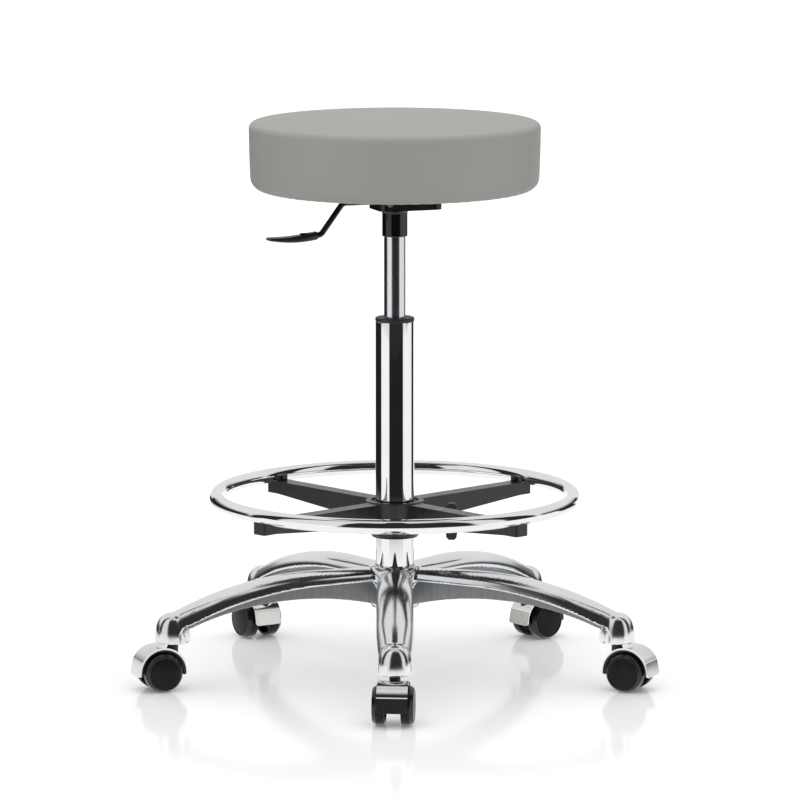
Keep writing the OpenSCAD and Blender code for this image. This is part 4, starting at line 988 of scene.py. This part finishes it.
def leverRod(v):
    z = foot("lever_rod") + v["drop"] + v["rod"]
    path, start = leverPath(v, z)
    sides = v["sides"]
    spots = np.array(path)
    ahead = np.gradient(spots, axis=0)
    ahead /= np.linalg.norm(ahead, axis=1)[:, None]
    points = []
    for (x, h), (dx, dz) in zip(spots, ahead):
        for k in range(sides):
            a = 2 * math.pi * k / sides
            up = v["rod"] * math.cos(a)
            points.append((x - dz * up, v["rod"] * math.sin(a), h + dx * up))
    rod = addPiece("leverRod", points, tubeFaces(len(spots), sides), finish["coat"])
    cleanUp(rod, 50)
    moveMesh(rod, turn=v["turn"])
    standFor(rod, "black_steel", "lever_rod")
    half, e = v["eyeWidth"] / 2, v["eyeEdge"]
    outline = [(v["eyeBore"], -half), (v["eye"] - e, -half), (v["eye"], e - half), (v["eye"], half - e),
               (v["eye"] - e, half), (v["eyeBore"], half)]
    eye = turnedPiece("leverEye", outline, finish["coat"], steps=48)
    onPivot = Matrix.Translation((v["pivot"] * mm, 0, z * mm))
    eye.data.transform(onPivot @ Matrix.Rotation(math.pi / 2, 4, "X"))
    moveMesh(eye, turn=v["turn"])
    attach(eye, "lever")
    return z, start


def leafWidth(s):  # 0 at the root, 1 in the middle, falling to 0 at the tip
    if s < 0.5:
        return math.sin(math.pi * s) ** 0.5
    t = 2 * s - 1
    return 1 - 2 * t ** 6 / 3 - t ** 2 / 3


def leverPaddle(v, z, start):
    rows, around, power = v["rows"], v["around"], 2 / v["power"]
    points = []
    grip = z - v["drop"]
    for n in range(rows + 1):
        s = n / rows
        end = min(1, (1 - s) / v["tipShare"], s / v["rootShare"])
        ease = v["endThick"] + (1 - v["endThick"]) * math.sqrt(max(0, end * (2 - end)))
        wide = v["rootWidth"] + (v["width"] - v["rootWidth"]) * leafWidth(s)
        half = wide / 2 * (v["endWidth"] + (1 - v["endWidth"]) * ease)
        wave = math.sin(math.pi * s)
        high = grip + v["thick"] / 2 - v["fall"] * s - v["dip"] * wave
        low = grip - v["thick"] / 2 + (v["thick"] - v["tip"] - v["fall"]) * s - v["belly"] * wave
        middle, deep = (high + low) / 2, (high - low) / 2 * ease
        for k in range(around):
            c, d = math.cos(2 * math.pi * k / around), math.sin(2 * math.pi * k / around)
            points.append((start + v["paddleLength"] * s, half * math.copysign(abs(c) ** power, c),
                           middle + deep * math.copysign(abs(d) ** power, d)))
    paddle = addPiece("leverPaddle", points, tubeFaces(rows + 1, around), finish["spider"])
    cleanUp(paddle, 60)
    moveMesh(paddle, turn=v["turn"])
    standFor(paddle, "black_nylon", "lever_paddle")


leverPaddle(lever, *leverRod(lever))
print("lever made")


# cushion: vinyl over foam, its edge drawn round the board

cushion = {
    "radius": 187.5, "rim": 8, "roll": 17, "drawIn": 1.6, "crown": 6, "opening": 149.6, "board": 173.6,
    "boardThick": 12, "boardGap": 0.3, "footGap": 0.1, "around": 240, "flatShares": (0, 0.2, 0.4, 0.6, 0.8),
    "rollSteps": 10, "sideSteps": 12, "rimTurn": 86, "rimSteps": 12, "topSteps": 25,
    "gathers": 64, "gatherDepth": 0.35, "gatherStart": 12, "gatherWaves": ((1.7, 3, 0), (0.9, 7, 1)),
    "slack": 0.35, "slackReach": 180, "slackEven": 0.5, "slackSway": 0.25,
    "slackWaves": ((1, 2, 0.6), (0.6, 5, 2.1), (0.4, 9, 0.4)),
}


def cushionOutline(v):
    low = foot("seat_cover")
    high = top("seat_cover") - v["crown"]
    r, rim, roll = v["radius"], v["rim"], v["roll"]
    flat = r - v["drawIn"] - roll
    outline = [(v["opening"] + share * (flat - v["opening"]), low) for share in v["flatShares"]]
    outline += arc(flat, low + roll, roll, -90, 0, v["rollSteps"])
    for i in range(1, v["sideSteps"]):
        s = i / v["sideSteps"]
        outline.append((r - v["drawIn"] * (1 - s) ** 2, low + roll + (high - rim - low - roll) * s))
    outline += arc(r - rim, high - rim, rim, 0, v["rimTurn"], v["rimSteps"])
    for i in range(1, v["topSteps"] + 1):
        s = 1 - i / v["topSteps"]
        outline.append(((r - rim) * s, high + v["crown"] * (1 - s * s)))
    return outline, low, high


def waves(a, rows):
    return sum(size * math.sin(count * a + shift) for size, count, shift in rows)


def drawnIn(r, z, a, low, high, v):  # where the cover's slack and its gathers take a point of the skin
    fold = 0.5 + 0.5 * math.sin(v["gathers"] * a + waves(a, v["gatherWaves"]))
    sway = v["slackEven"] + v["slackSway"] * waves(a, v["slackWaves"])
    under = side = 0
    if z < high:  # the gathers fade out over the first third of the roll
        under = max(0, 1 - 3 * (z - low) / v["roll"]) * min(1, (r - v["opening"]) / v["gatherStart"])
    if r > v["slackReach"]:
        side = math.sin(math.pi * min(1, max(0, (z - low) / (high - low))))
    return r - v["slack"] * side * sway, z + under * v["gatherDepth"] * fold


def seatCushion(v):
    outline, low, high = cushionOutline(v)
    board = foot("seat_board")
    rim, lid, sill = v["board"] + v["boardGap"], board + v["boardThick"] + v["boardGap"], board - v["footGap"]
    inner = [(0, lid), (rim, lid), (rim, sill), (v["opening"], sill)]
    n, m = v["around"], len(outline) + len(inner)
    points, faces = [], []
    for i in range(n):
        a = 2 * math.pi * i / n
        ring = [drawnIn(r, z, a, low, high, v) for r, z in outline] + inner
        points += [(r * math.cos(a), r * math.sin(a), z) for r, z in ring]
        j = (i + 1) % n
        for k in range(m):
            q = (k + 1) % m
            faces.append((i * m + k, j * m + k, j * m + q, i * m + q))
    pad = addPiece("seatCushion", points, faces, finish["vinyl"])
    cleanUp(pad, 55)
    standFor(pad, "vinyl", "seat_cover", "seat_foam")


seatCushion(cushion)
print("cushion made")
